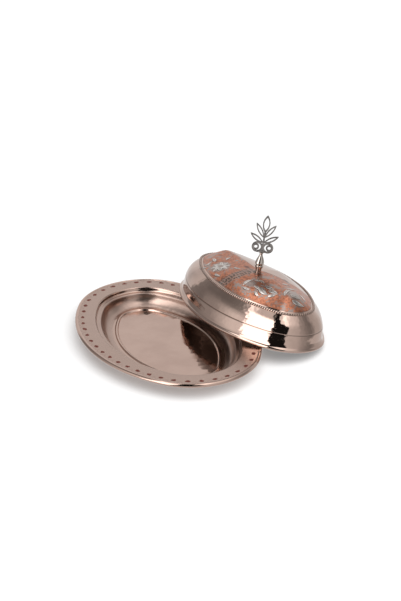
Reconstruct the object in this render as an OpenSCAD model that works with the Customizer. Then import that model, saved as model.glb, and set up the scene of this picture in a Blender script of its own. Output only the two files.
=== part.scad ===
// Oval sheet-metal sweet dish with a domed lid and an openwork finial.
// The lid leans off the dish: its near edge lies on the dish's rim and its far
// edge stands on the table. Dish and lid are parallel to one four-arc oval, so
// every profile is drawn as [inset from the dish's outer oval, height].

/* [Dish] */
// Length of the dish over its rolled edge
dish_l = 210; // [200:1:220]
// Width of the dish over its rolled edge
dish_w = 148; // [146:2:150]
// Height of the dish's rim above the table
dish_h = 15; // [13:0.5:18]
// Radius of the oval's end arcs at the rolled edge
end_r = 58.5; // [57:1.5:60]
// Thickness of the dish's sheet
dish_t = 0.9; // [0.7:0.1:1.1]
// Width of the flat rim
rim_w = 17.8; // [16:0.2:20]
// Plan width of the step from the rim down to the ledge
step_run = 1; // [0.6:0.1:1.6]
// Depth of the ledge below the rim
ledge_drop = 3.6; // [3:0.1:4.6]
// Width of the ledge that carries the lid
ledge_w = 3.8; // [3.4:0.1:5]
// Plan width of the bowl's wall above its lower bend
wall_run = 2.6; // [2:0.2:4]
// Radius of the bend between the bowl's wall and its floor
bowl_bend_r = 9; // [7:0.5:11]
// Radius of the bends at the step and the ledge
step_bend_r = 1.5; // [1.3:0.1:1.7]
// Inset of the raised bead round the floor
bead_inset = 36; // [34:0.5:39]
// Radius of the raised bead round the floor
bead_r = 1.4; // [1.2:0.1:1.8]
// Rise of the bead above the floor
bead_rise = 1.2; // [0.8:0.1:1.6]

/* [Rolled edges] */
// Radius of the wire inside the dish's rolled edge
dish_wire_r = 0.8; // [0.6:0.1:1.1]
// Radius of the wire inside the lid's rolled lip
lid_wire_r = 0.7; // [0.5:0.1:1]
// Rise of the dish's rolled edge above its rim
roll_proud = 0.4; // [0.2:0.1:0.6]
// Clearance between a wire and the sheet rolled round it
wire_gap = 0.05; // [0.04:0.01:0.1]

/* [Punched dots] */
// Inset of the ring of dots from the rolled edge
dot_inset = 6.8; // [6:0.1:8]
// Diameter of a punched dot
dot_d = 2.6; // [2:0.1:3.2]
// Depth of a punched dot
dot_depth = 0.3; // [0.2:0.05:0.4]
// Distance from one dot to the next
dot_pitch = 11.5; // [9:0.5:14]

/* [Lid] */
// Clearance between the lid's lip and the dish's rim when the lid is on
seat_gap = 2; // [1.6:0.1:2.4]
// Thickness of the lid's sheet
lid_t = 0.9; // [0.7:0.1:1.1]
// Height of the lid's shoulder above its lip
shoulder_h = 29.5; // [28.5:0.5:30.5]
// Inset of the shoulder from the lip
shoulder_in = 14.5; // [14:0.1:14.8]
// Inset of the wall's foot from the lip's outer edge
flare = 2.6; // [2.2:0.1:3]
// Height of the wall's foot above the table
flare_h = 5.5; // [4.5:0.5:7]
// Height of the groove round the wall
groove_h = 14.6; // [13:0.2:16]
// Inset of the wall at the groove
groove_in = 3.6; // [3:0.1:4.2]
// Inward lean of the wall above the groove
band_lean = 2.7; // [2:0.1:3.4]
// Fall from the shoulder to the corner of the wall's upper bend
shoulder_drop = 7.4; // [6.6:0.1:8.2]
// Radius of the wall's upper bend
shoulder_bend_r = 20; // [15:1:24]
// Radius of the bend at the shoulder, under the roped bead
ridge_bend_r = 6; // [4:1:9]
// Radius of the bend where the wall flares to its lip
foot_bend_r = 2.5; // [2:0.1:3]
// Radius of the soft bend at the groove
groove_bend_r = 20; // [15:1:24]
// Radius of the groove's section
groove_r = 0.5; // [0.4:0.05:0.6]
// Depth of the groove
groove_depth = 0.3; // [0.2:0.05:0.4]
// Radius of the roped bead along the shoulder
rope_r = 1.2; // [1:0.1:1.5]

/* [Roof] */
// Height of the finial's seat above the shoulder
roof_h = 12.5; // [12:0.1:12.8]
// Radius of the two crossed vaults that shape the four panels
vault_r = 82; // [80:1:100]
// Turn of each vault's axis from the lid's long axis
vault_turn = 17; // [12:1:20]
// Slope of the roof's border where it rises from the shoulder
crown_slope = 31; // [31:1:36]
// Radius of the bend at the top of the roof's border
crown_bend_r = 5; // [3:1:5]
// Height by which the roof's border would pass the finial's seat
crown_over = 0.8; // [0.6:0.1:1]

/* [Finial] */
// Width of the openwork ornament
ornament_w = 28; // [24:1:30]
// Thickness of the ornament's plate
ornament_t = 1.6; // [1.2:0.1:2]
// Width of a bar in the ornament
bar_w = 1.5; // [1.2:0.1:1.8]
// Turn of the ornament's face from the lid's long axis
ornament_turn = 56; // [0:1:90]
// Largest radius of the stem
stem_r = 3.9; // [3.5:0.1:4.5]
// Height of the stem
stem_h = 11.5; // [10:0.5:13]
// Radius of the stem's neck under the ornament
neck_r = 1.3; // [1.1:0.1:1.6]
// Height of the collar under the stem
collar_h = 5; // [4:0.5:6]
// Largest radius of the collar
collar_r = 4; // [3.6:0.1:4.4]
// Radius of the collar's foot on the roof
collar_foot_r = 2.6; // [2.4:0.1:3]
// Radius of the groove between the collar and the stem
waist_r = 3; // [2.6:0.1:3.3]
// Radius of the screw's shank
screw_r = 1.5; // [1.2:0.1:1.8]
// Depth of the screw in the stem
screw_grip = 5; // [4:0.5:6]
// Radial clearance round the screw
screw_gap = 0.1; // [0.05:0.05:0.2]
// Radius of the screw's head
head_r = 2.9; // [2.6:0.1:3.3]
// Height of the screw's head
head_h = 1.8; // [1.5:0.1:2.2]
// Width of the slot in the screw's head
slot_w = 0.8; // [0.6:0.1:1]
// Depth of the slot in the screw's head
slot_depth = 0.8; // [0.5:0.1:1]
// Radius of the washer inside the roof
washer_r = 5; // [4.5:0.5:6]
// Thickness of the washer
washer_t = 0.8; // [0.6:0.1:1]

/* [Lid as it leans] */
// Shift of the lid along the dish's length
lid_x = 2; // [0:0.5:5]
// Distance from the dish's middle to the lid's middle
lid_y = 81; // [79:0.5:84]
// Turn of the lid on the table, seen from above
lid_turn = 4; // [0:0.5:5]
// Clearance between the lid's edge and what it leans on
lean_gap = 0.3; // [0.2:0.05:0.4]

/* [Hidden] */
$fn = 96;

tin = "#b8a398";
copper = "#a8674c";
steel = "#c9c4c0";

// The oval's four arcs: the end arcs' centres lie on X, the side arcs' on Y.
// The centres are kept to a thousandth of a millimetre, so that the arcs share their joins.
end_x = thousandth(dish_l / 2 - end_r);
side_gain = dish_w / 2 - end_r;
side_y = thousandth((end_x * end_x - side_gain * side_gain) / (2 * side_gain));
core_r = thousandth(norm([end_x, side_y]));
side_r = end_r + core_r;
join_a = atan2(side_y, end_x);

// The profiles that are swept round the oval end in its flat middle, a little short of the
// end arcs' centres, and the middle reaches under them by twice as much
sweep_gap = 0.3;
sweep_end = end_r - sweep_gap;

// Steps in a bend of a profile
bend_steps = 6;

// Length by which a cut runs past what it cuts
past = 1;

// Rolled edges
dish_roll_r = dish_wire_r + wire_gap + dish_t;
lid_roll_r = lid_wire_r + wire_gap + lid_t;
rim_z = dish_h - roll_proud;
ledge_z = rim_z - ledge_drop;

// Insets of the lid's features from the dish's outer oval
lid_in = rim_w + seat_gap;
shoulder_at = lid_in + shoulder_in;
lid_roll_in = lid_in + lid_roll_r;

// Heights of the finial's pieces above the lid's lip
seat_z = shoulder_h + roof_h;
stem_z = seat_z + collar_h;
ornament_z = stem_z + stem_h;
washer_z = seat_z - lid_t - washer_r * washer_r / (2 * (vault_r - lid_t)) - washer_t;
shank_top = stem_z + screw_grip;
bore_r = screw_r + screw_gap;

// The flat seat on the roof is a little wider than the finial's foot
seat_r = collar_foot_r + 1;

// Where the lid's lip crosses the dish's rolled edge, seen from above
lip_end_r = end_r - lid_roll_in;
edge_side_r = side_r - dish_roll_r;
lid_middle = [lid_x, lid_y];
lid_end = turned([end_x, 0], lid_turn);
cross_right = circles_meet([0, -side_y], edge_side_r, lid_middle + lid_end, lip_end_r, 1);
cross_left = circles_meet([0, -side_y], edge_side_r, lid_middle - lid_end, lip_end_r, -1);
lean_dir = atan2(cross_right[1] - cross_left[1], cross_right[0] - cross_left[0]);
downhill = [-sin(lean_dir), cos(lean_dir)];
near_q = (lid_middle - cross_right) * downhill;
far_q = side_r - lid_roll_in + turned([0, -side_y], lid_turn) * downhill;
lean = asin((dish_h + lean_gap) / (near_q + far_q));
lean_z = far_q * sin(lean) + lid_roll_r * (1 - cos(lean));

// ---- Functions ----

function thousandth(v) = round(v * 1000) / 1000;
function unit(v) = v / norm(v);
function left_of(v) = [-v[1], v[0]];
function turned(v, a) = [v[0] * cos(a) - v[1] * sin(a), v[0] * sin(a) + v[1] * cos(a)];

// Point where two circles meet, on the right (side = 1) or left (side = -1)
function circles_meet(c1, r1, c2, r2, side) =
    let (gap = norm(c2 - c1),
         u = (c2 - c1) / gap,
         along = (r1 * r1 - r2 * r2 + gap * gap) / (2 * gap),
         across = sqrt(r1 * r1 - along * along))
    c1 + u * along - left_of(u) * across * side;

// A bend of radius r at corner b of the path a-b-c, as [point, left normal] pairs
function bend(a, b, c, r) =
    let (u = unit(b - a),
         w = unit(c - b),
         s = sign(u[0] * w[1] - u[1] * w[0]),
         total = acos(u * w),
         centre = b - u * r * tan(total / 2) + left_of(u) * r * s)
    [for (i = [0:bend_steps])
        let (n = turned(left_of(u), s * total * i / bend_steps))
        [centre - n * r * s, n]];

// A path through corners, where the inner corners are bent with the given radii
function path(corners, radii) =
    let (last = len(corners) - 1,
         first_n = left_of(unit(corners[1] - corners[0])),
         last_n = left_of(unit(corners[last] - corners[last - 1])))
    concat([[corners[0], first_n]],
           [for (i = [1:last - 1], p = bend(corners[i - 1], corners[i], corners[i + 1], radii[i - 1])) p],
           [[corners[last], last_n]]);

function points(path) = [for (p = path) p[0]];
function reversed(list) = [for (i = [len(list) - 1:-1:0]) list[i]];

// The path moved sideways by d, to the right of its direction
function offset_path(path, d) = [for (p = path) [p[0] - p[1] * d, p[1]]];

// Length of an inset oval's end arc and side arc
function end_len(d) = 2 * join_a * PI / 180 * (end_r - d);
function side_len(d) = 2 * (90 - join_a) * PI / 180 * (side_r - d);

// Place on the oval inset by d, at arc length s from the middle of its +X end
function on_oval(s, d) =
    let (e = end_len(d) / 2,
         half = end_len(d) + side_len(d))
    s > half ? -on_oval(s - half, d)
    : s < e ? turned([end_r - d, 0], s / (end_r - d) * 180 / PI) + [end_x, 0]
    : s < e + side_len(d)
        ? turned([side_r - d, 0], join_a + (s - e) / (side_r - d) * 180 / PI) - [0, side_y]
    : -turned([end_r - d, 0], -(half - s) / (end_r - d) * 180 / PI) - [end_x, 0];

// ---- The oval ----

// The span of one end arc and of one side arc, which meet along the lines
// through the arcs' centres
end_span = [[end_x, 0], [2 * end_x, -side_y], [dish_l, -side_y], [dish_l, side_y], [2 * end_x, side_y]];
side_span = [[0, -side_y], [2 * end_x, side_y], [2 * end_x, dish_w], [-2 * end_x, dish_w],
             [-2 * end_x, side_y]];

// A profile, drawn as [inset, height], swept round one arc within its span
module around_arc(centre, r, span) intersection() {
    translate(centre) rotate_extrude() translate([r, 0]) mirror([1, 0]) children();
    linear_extrude(2 * dish_l, center = true) polygon(span);
}

// Sweeps a profile round the oval
module around_oval() for (side = [0, 1]) {
    mirror([side, 0]) around_arc([end_x, 0], end_r, end_span) children();
    mirror([0, side]) around_arc([0, -side_y], side_r, side_span) children();
}

// The flat middle of the oval
module oval_core(low, high) {
    r = core_r + 2 * sweep_gap;
    translate([0, 0, low]) intersection() {
        translate([0, -side_y]) cylinder(r = r, h = high - low);
        translate([0, side_y]) cylinder(r = r, h = high - low);
    }
}

// A round wire or hollow roll that follows the oval
module oval_ring(inset, height, r, hole_r = 0) {
    around_oval() translate([inset, height]) difference() {
        circle(r);
        if (hole_r > 0) circle(hole_r);
    }
}

// ---- Dish ----

// Top surface of the dish's sheet, from the rolled edge to the middle
dish_top = path([[dish_roll_r + dish_t, rim_z],
                 [rim_w, rim_z],
                 [rim_w + step_run, ledge_z],
                 [rim_w + step_run + ledge_w, ledge_z],
                 [rim_w + step_run + ledge_w + wall_run, dish_t],
                 [sweep_end, dish_t]],
                [step_bend_r, step_bend_r, step_bend_r, bowl_bend_r]);

module dish_sheet() {
    around_oval() polygon(concat(points(dish_top), reversed(points(offset_path(dish_top, dish_t)))));
    oval_core(0, dish_t);
}

// Half-round bead that rings the floor
module floor_bead() {
    around_oval() intersection() {
        translate([bead_inset, dish_t + bead_rise - bead_r]) circle(bead_r);
        translate([bead_inset - bead_r, dish_t / 2]) square([2 * bead_r, bead_rise + dish_t]);
    }
}

module rim_dots() {
    round_trip = 2 * (end_len(dot_inset) + side_len(dot_inset));
    count = 2 * round(round_trip / dot_pitch / 2);
    for (i = [0:count - 1]) {
        at = on_oval((i + 0.5) * round_trip / count, dot_inset);
        translate([at[0], at[1], rim_z - dot_depth]) cylinder(d = dot_d, h = dot_depth + past, $fn = 24);
    }
}

module dish_pan() color(tin) difference() {
    union() {
        dish_sheet();
        floor_bead();
        oval_ring(dish_roll_r, dish_h - dish_roll_r, dish_roll_r, dish_wire_r + wire_gap);
    }
    rim_dots();
}

module dish_rim_wire() color(copper) oval_ring(dish_roll_r, dish_h - dish_roll_r, dish_wire_r);

// ---- Lid ----

// Outer surface of the lid, from the lip up the wall to the shoulder and on over the
// roof's border, which the vaults cut off before it ends level
crown_h = seat_z + crown_over;
crown_run = (crown_h - shoulder_h) / tan(crown_slope);
middle = sweep_end - lid_in;
lid_outer = path([[lid_roll_r - lid_t / 2, 2 * lid_roll_r - lid_t / 2],
                  [flare, flare_h],
                  [groove_in, groove_h],
                  [groove_in + band_lean, shoulder_h - shoulder_drop],
                  [shoulder_in, shoulder_h],
                  [shoulder_in + crown_run, crown_h],
                  [middle, crown_h]],
                 [foot_bend_r, groove_bend_r, shoulder_bend_r, ridge_bend_r, crown_bend_r]);

// The lid's outline filled: depth moves its surface inwards
module lid_body(depth, low) {
    skin = points(offset_path(lid_outer, depth));
    top = crown_h - depth;
    around_oval() translate([lid_in, 0])
        polygon(concat([[middle, low], [skin[0][0], low]], skin, [[middle, top]]));
    oval_core(low, top);
}

// Space under the two crossed vaults, whose crests lie along X and Y
module vaults(depth) intersection_for (side = [-1, 1])
    translate([0, 0, seat_z - vault_r]) rotate([0, 90, side * vault_turn])
        cylinder(r = vault_r - depth, h = 2 * dish_l, center = true, $fn = 360);

module lid_shell_upright() difference() {
    union() {
        difference() {
            intersection() {
                lid_body(0, lid_outer[0][0][1]);
                vaults(0);
            }
            intersection() {
                lid_body(lid_t, -past);
                vaults(lid_t);
            }
        }
        oval_ring(lid_roll_in, lid_roll_r, lid_roll_r, lid_wire_r + wire_gap);
        oval_ring(shoulder_at, shoulder_h, rope_r);
        translate([0, 0, seat_z - lid_t]) cylinder(r = seat_r, h = lid_t, $fn = 48);
    }
    oval_ring(lid_in + groove_in - groove_r + groove_depth, groove_h, groove_r);
    translate([0, 0, washer_z]) cylinder(r = bore_r, h = stem_z - washer_z, $fn = 32);
}

// Places what stands upright on the lid as the lid leans
module leaning() {
    translate([lid_x, lid_y, lean_z]) rotate(lean_dir) rotate([-lean, 0, 0])
        rotate(lid_turn - lean_dir) children();
}

module lid_shell() color(tin) leaning() lid_shell_upright();

module lid_rim_wire() color(copper) leaning() oval_ring(lid_roll_in, lid_roll_r, lid_wire_r);

// ---- Finial ----

// Turned profile of the collar: a cup that flares to its rim and draws in to the waist
cup_share = 0.85;
cup_flare = [for (i = [0:6])
    let (t = i / 6)
    [collar_r + (collar_foot_r - collar_r) * cos(90 * t), cup_share * collar_h * t]];
collar_profile = concat([[bore_r, 0]], cup_flare, [[waist_r, collar_h], [bore_r, collar_h]]);

module finial_collar() color(steel) leaning() translate([0, 0, seat_z])
    rotate_extrude($fn = 64) polygon(collar_profile);

// Turned profile of the stem: a belly that draws in to the neck under a small rim.
// The shares are of the stem's height.
belly_low = 0.14;
belly_high = 0.86;
belly_power = 1.3;
neck_rim = 0.5;
neck_rim_h = 0.9;
stem_belly = [for (i = [0:8])
    let (t = i / 8,
         share = belly_low + (belly_high - belly_low) * t)
    [neck_r + (stem_r - neck_r) * pow(cos(90 * t), belly_power), stem_h * share]];

// Depth of the stem's hole past the screw's tip
tip_gap = 0.5;

module finial_stem() color(steel) leaning() translate([0, 0, stem_z]) difference() {
    rotate_extrude($fn = 64) polygon(concat(
        [[0, 0], [waist_r, 0]], stem_belly,
        [[neck_r + neck_rim, stem_h - neck_rim_h], [neck_r + neck_rim, stem_h], [0, stem_h]]));
    translate([0, 0, -past]) cylinder(r = bore_r, h = screw_grip + tip_gap + past, $fn = 32);
}

// A pointed leaf that stands on the origin, with an open middle if it has a wall
module leaf(length, width, wall = 0) {
    arc_r = (length * length + width * width) / (4 * width);
    difference() {
        intersection() {
            translate([arc_r - width / 2, length / 2]) circle(arc_r);
            translate([width / 2 - arc_r, length / 2]) circle(arc_r);
        }
        if (wall > 0) translate([0, 2 * wall]) leaf(length - 4 * wall, width - 2 * wall);
    }
}

module ring(r) difference() {
    circle(r);
    circle(r - bar_w);
}

// The ornament's leaves, as [height on the stalk, turn, length, width]. Lengths here
// and below are shares of half the ornament's width.
side_leaves = [[0.62, 58, 1.05, 0.3], [0.95, 34, 1.12, 0.3]];
top_leaf = [1.3, 0, 1.15, 0.46];
stalk = 1.4;
scroll = 0.34;
inner_scroll = 0.21;
inner_shift = 0.08;
leaf_wall = 1.1;

// Tulip between two scrolls and four leaves
module ornament_outline() {
    span = ornament_w / 2;
    translate([-scroll * span, 0]) square([2 * scroll * span, bar_w]);
    translate([-bar_w / 2, 0]) square([bar_w, stalk * span]);
    for (side = [0, 1]) mirror([side, 0]) {
        translate([scroll * span, scroll * span]) ring(scroll * span);
        translate([(scroll + inner_shift) * span, scroll * span]) ring(inner_scroll * span);
        for (l = side_leaves) stalk_leaf(l, span);
    }
    stalk_leaf(top_leaf, span);
}

module stalk_leaf(l, span) translate([0, l[0] * span]) rotate(-l[1])
    leaf(l[2] * span, l[3] * span, leaf_wall);

module finial_ornament() color(steel) leaning() translate([0, 0, ornament_z]) rotate(ornament_turn)
    rotate([90, 0, 0]) linear_extrude(ornament_t, center = true) ornament_outline($fn = 48);

module finial_washer() color(steel) leaning() translate([0, 0, washer_z]) difference() {
    cylinder(r = washer_r, h = washer_t, $fn = 48);
    translate([0, 0, -past]) cylinder(r = bore_r, h = washer_t + 2 * past, $fn = 32);
}

module finial_screw() color(steel) leaning() difference() {
    union() {
        translate([0, 0, washer_z]) cylinder(r = screw_r, h = shank_top - washer_z, $fn = 32);
        translate([0, 0, washer_z - head_h]) cylinder(r = head_r, h = head_h, $fn = 48);
    }
    translate([0, 0, washer_z - head_h]) cube([2 * head_r + past, slot_w, 2 * slot_depth], center = true);
}

dish_pan();
dish_rim_wire();
lid_shell();
lid_rim_wire();
finial_collar();
finial_stem();
finial_ornament();
finial_washer();
finial_screw();
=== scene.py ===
"""Looks of an oval dish of tinned copper and its domed lid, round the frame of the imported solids.

Sizes are in millimetres unless a name or comment says otherwise. Every sheet is a profile,
drawn as [inset from the dish's outer oval, height], that is carried round one four-arc oval.
"""
import logging
import math
from dataclasses import dataclass, field
from enum import Enum

import bmesh
import bpy
import numpy as np
from mathutils import Matrix


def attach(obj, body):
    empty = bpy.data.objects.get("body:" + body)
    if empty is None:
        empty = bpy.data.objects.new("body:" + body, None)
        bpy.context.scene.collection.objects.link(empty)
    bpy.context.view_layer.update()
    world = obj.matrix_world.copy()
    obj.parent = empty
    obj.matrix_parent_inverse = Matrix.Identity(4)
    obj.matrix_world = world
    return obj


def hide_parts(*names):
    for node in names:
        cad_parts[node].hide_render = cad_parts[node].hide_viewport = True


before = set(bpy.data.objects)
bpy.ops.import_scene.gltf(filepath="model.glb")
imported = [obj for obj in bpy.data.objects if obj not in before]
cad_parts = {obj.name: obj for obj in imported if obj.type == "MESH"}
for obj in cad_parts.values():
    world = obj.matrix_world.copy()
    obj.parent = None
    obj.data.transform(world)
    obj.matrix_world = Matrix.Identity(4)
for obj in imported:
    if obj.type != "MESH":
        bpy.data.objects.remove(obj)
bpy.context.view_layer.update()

LOG = logging.getLogger("sweet_dish")
MM = 0.001
UM = 0.000001
FULL_TURN = 2 * math.pi
WELD = 1e-4  # Distance in mm under which points are one.
ON_ROLL = -1.0  # Stands for the arc length of a profile's points on its rolled edge.
MARK_EDGE = 0.6  # Squared distance from a hammer mark's middle at which the mark ends.

Pair = tuple[float, float]
Triple = tuple[float, float, float]
Band = tuple[Pair, Pair]
Piece = bpy.types.Object


# ---- Geometry helpers ----


def unit(v: np.ndarray) -> np.ndarray:
    """Returns the vectors in the last axis with length 1."""
    return v / np.maximum(np.linalg.norm(v, axis=-1, keepdims=True), 1e-12)


def smooth_step(low: float, high: float, x: np.ndarray) -> np.ndarray:
    """Returns 0 below low, 1 above high and 3t^2 - 2t^3 between them."""
    t = np.clip((x - low) / (high - low), 0, 1)
    return t * t * (3 - 2 * t)


def bell(x: np.ndarray, half: float) -> np.ndarray:
    """Returns exp(-(x / half)^2), which is 1 at 0 and falls on both sides."""
    return np.exp(-((x / half) ** 2))


def turn_about_z(degrees: float) -> np.ndarray:
    """Returns the matrix of a turn about +Z."""
    c, s = math.cos(math.radians(degrees)), math.sin(math.radians(degrees))
    return np.array([[c, -s, 0], [s, c, 0], [0, 0, 1]])


def turn_about_x(degrees: float) -> np.ndarray:
    """Returns the matrix of a turn about +X."""
    c, s = math.cos(math.radians(degrees)), math.sin(math.radians(degrees))
    return np.array([[1, 0, 0], [0, c, -s], [0, s, c]])


@dataclass
class Profile:
    """A curve through [inset, height] points, with its arc length and left normals."""

    points: np.ndarray
    dense_step: float = 0.04
    bend_points: int = 24
    along: np.ndarray = field(init=False)
    normals: np.ndarray = field(init=False)

    def __post_init__(self) -> None:
        """Works out the arc length and the normals, which are the tangents turned by a quarter."""
        steps = np.linalg.norm(np.diff(self.points, axis=0), axis=1)
        self.along = np.concatenate([[0], np.cumsum(steps)])
        tangents = unit(np.gradient(self.points, axis=0))
        self.normals = np.stack([-tangents[:, 1], tangents[:, 0]], axis=1)

    @classmethod
    def bent(cls, corners: list[Pair], radii: list[float]) -> "Profile":
        """Straight runs joined by arcs, each of which touches both runs at its inner corner.

        Args:
            corners: Corners of the path, as [inset, height].
            radii: Radius of the bend at each inner corner.

        Returns:
            The path, sampled finely enough to be read anywhere along it.
        """
        corner = np.array(corners, float)
        pieces = [corner[:1]]
        for before, at, after, radius in zip(corner[:-2], corner[1:-1], corner[2:], radii):
            into, out = unit(at - before), unit(after - at)
            side = np.sign(into[0] * out[1] - into[1] * out[0])
            total = math.acos(np.clip(into @ out, -1, 1))
            left = np.array([-into[1], into[0]])
            centre = at - into * radius * math.tan(total / 2) + left * radius * side
            angle = side * np.linspace(0, total, cls.bend_points)
            spun = np.stack([left[0] * np.cos(angle) - left[1] * np.sin(angle),
                             left[0] * np.sin(angle) + left[1] * np.cos(angle)], axis=1)
            pieces.append(centre - spun * radius * side)
        pieces.append(corner[-1:])
        rough = np.concatenate(pieces)
        length = np.concatenate([[0], np.cumsum(np.linalg.norm(np.diff(rough, axis=0), axis=1))])
        even = np.arange(0, length[-1], cls.dense_step)
        even = np.append(even, length[-1])
        return cls(np.stack([np.interp(even, length, rough[:, k]) for k in (0, 1)], axis=1))

    def at(self, places: np.ndarray) -> np.ndarray:
        """Returns the points at the given arc lengths."""
        return np.stack([np.interp(places, self.along, self.points[:, k]) for k in (0, 1)], axis=-1)

    def place_of(self, inset: float) -> float:
        """Returns the arc length at which the path first reaches an inset."""
        return float(self.along[np.argmax(self.points[:, 0] >= inset)])

    def offset(self, distance: float) -> "Profile":
        """Returns the path moved along its left normals by a distance."""
        return Profile(self.points + distance * self.normals)

    def outside(self, centre: Pair, radius: float) -> "Profile":
        """Returns the part of the path that lies outside a circle."""
        far = np.linalg.norm(self.points - np.array(centre), axis=1) >= radius
        return Profile(self.points[far])


def stations(length: float, step: float, fine: list[Triple]) -> np.ndarray:
    """Even stations along a path, with closer ones at its details.

    Args:
        length: Length of the path.
        step: Distance between the even stations.
        fine: For each detail its place, the half width of its stretch and the step there.

    Returns:
        The stations in order, from 0 to the length.
    """
    kept = np.linspace(0, length, max(2, round(length / step) + 1))
    for place, half, small in fine:
        low, high = max(0.0, place - half), min(length, place + half)
        inner = (kept > low - small / 2) & (kept < high + small / 2) & (kept > 0) & (kept < length)
        close = np.linspace(low, high, max(2, round((high - low) / small) + 1))
        kept = np.concatenate([kept[~inner], close])
    return np.unique(np.round(kept, 6))


def roll_arc(centre: Pair, radius: float, start: np.ndarray, end: np.ndarray,
             count: int) -> np.ndarray:
    """Arc of a rolled edge that runs from one point round the outside to another.

    Args:
        centre: Middle of the roll, as [inset, height].
        radius: Radius of the roll.
        start: Point that the arc leaves, where the first surface meets the roll.
        end: Point that the arc reaches, where the last surface meets the roll.
        count: Points on the arc.

    Returns:
        The arc's points: centre + radius (cos a, sin a), with a growing from start to end.
    """
    middle = np.array(centre)
    first = math.atan2(*(start - middle)[::-1])
    last = math.atan2(*(end - middle)[::-1])
    if last <= first:
        last += FULL_TURN
    angle = np.linspace(first, last, count)
    return middle + radius * np.stack([np.cos(angle), np.sin(angle)], axis=1)


@dataclass(frozen=True)
class Columns:
    """Stations round the oval. A point at inset d is centre + (radius - d) normal."""

    centre: np.ndarray
    radius: np.ndarray
    normal: np.ndarray
    along: np.ndarray

    def at(self, inset: np.ndarray) -> np.ndarray:
        """Returns the plan points of every column at each inset, as rows of columns."""
        reach = self.radius[None, :] - np.asarray(inset)[:, None]
        return self.centre[None] + reach[..., None] * self.normal[None]


@dataclass(frozen=True)
class Oval:
    """Four arcs: the end arcs' centres lie on X and the side arcs' centres on Y."""

    length: float = 210.0
    width: float = 148.0
    end_r: float = 58.5

    @property
    def end_x(self) -> float:
        """Returns the distance of the end arcs' centres from the middle."""
        return self.length / 2 - self.end_r

    @property
    def side_y(self) -> float:
        """Returns the distance of the side arcs' centres from the middle."""
        gain = self.width / 2 - self.end_r
        return (self.end_x**2 - gain**2) / (2 * gain)

    @property
    def side_r(self) -> float:
        """Returns the radius of the side arcs."""
        return self.end_r + math.hypot(self.end_x, self.side_y)

    def inset(self, x: np.ndarray, y: np.ndarray) -> np.ndarray:
        """Returns how far inside the oval the points of a plan lie."""
        far_x, far_y = np.abs(x), np.abs(y)
        beyond = far_x - self.end_x
        on_end = (beyond > 0) & (far_y * self.end_x <= beyond * self.side_y)
        return np.where(on_end, self.end_r - np.hypot(beyond, far_y),
                        self.side_r - np.hypot(far_x, far_y + self.side_y))

    def columns(self, reference: float, in_end: int, in_side: int) -> Columns:
        """Stations spaced evenly within each arc, with one on each half axis.

        Args:
            reference: Inset at which the arc length is measured.
            in_end: Steps in half an end arc.
            in_side: Steps in half a side arc.

        Returns:
            The columns, anticlockwise from +X, and the arc length up to the closing column.
        """
        join = math.atan2(self.side_y, self.end_x)
        quarter = np.concatenate([np.linspace(0, join, in_end, endpoint=False),
                                  np.linspace(join, math.pi / 2, in_side, endpoint=False)])
        flank = math.pi - np.append(quarter, math.pi / 2)[:0:-1]
        half = np.concatenate([quarter, flank])
        angle = np.concatenate([half, half + math.pi])
        normal = np.stack([np.cos(angle), np.sin(angle)], axis=1)
        on_end = np.abs(normal[:, 0]) >= math.cos(join) - 1e-9
        centre = np.where(on_end[:, None],
                          np.stack([np.sign(normal[:, 0]) * self.end_x, 0 * angle], axis=1),
                          np.stack([0 * angle, -np.sign(normal[:, 1]) * self.side_y], axis=1))
        radius = np.where(on_end, self.end_r, self.side_r)
        steps = np.diff(np.append(angle, FULL_TURN))
        middle = angle + steps / 2
        on_end_step = np.abs(np.cos(middle)) > math.cos(join)
        arc_r = np.where(on_end_step, self.end_r, self.side_r) - reference
        return Columns(centre, radius, normal, np.concatenate([[0], np.cumsum(arc_r * steps)]))


def swept(columns: Columns, rows: np.ndarray, inner_rows: int = 0, close_start: bool = False,
          close_end: bool = False) -> np.ndarray:
    """A profile carried round the oval, and on to the long axis where a sheet fills the middle.

    Args:
        columns: Stations round the oval.
        rows: Profile points, as [inset, height].
        inner_rows: Rows that carry an end of the profile to the long axis.
        close_start: Whether the first row is carried to the long axis.
        close_end: Whether the last row is carried to the long axis.

    Returns:
        A grid of points, rows by columns. On the inner rows y shrinks evenly to 0.
    """
    plan = columns.at(rows[:, 0])
    height = np.broadcast_to(rows[:, 1][:, None, None], plan.shape[:2] + (1,))
    grid = np.concatenate([plan, height], axis=2)
    shares = np.arange(1, inner_rows + 1) / max(inner_rows, 1)
    narrow = np.stack([np.ones_like(shares), 1 - shares, np.ones_like(shares)], axis=1)[:, None, :]
    parts = [grid]
    if close_start:
        parts.insert(0, (grid[:1] * narrow)[::-1])
    if close_end:
        parts.append(grid[-1:] * narrow)
    return np.concatenate(parts)


def grid_normals(grid: np.ndarray) -> np.ndarray:
    """Returns the normals of a grid that closes on itself along its columns."""
    around = np.roll(grid, -1, axis=1) - np.roll(grid, 1, axis=1)
    along = np.gradient(grid, axis=0)
    return unit(np.cross(around, along))


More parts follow.
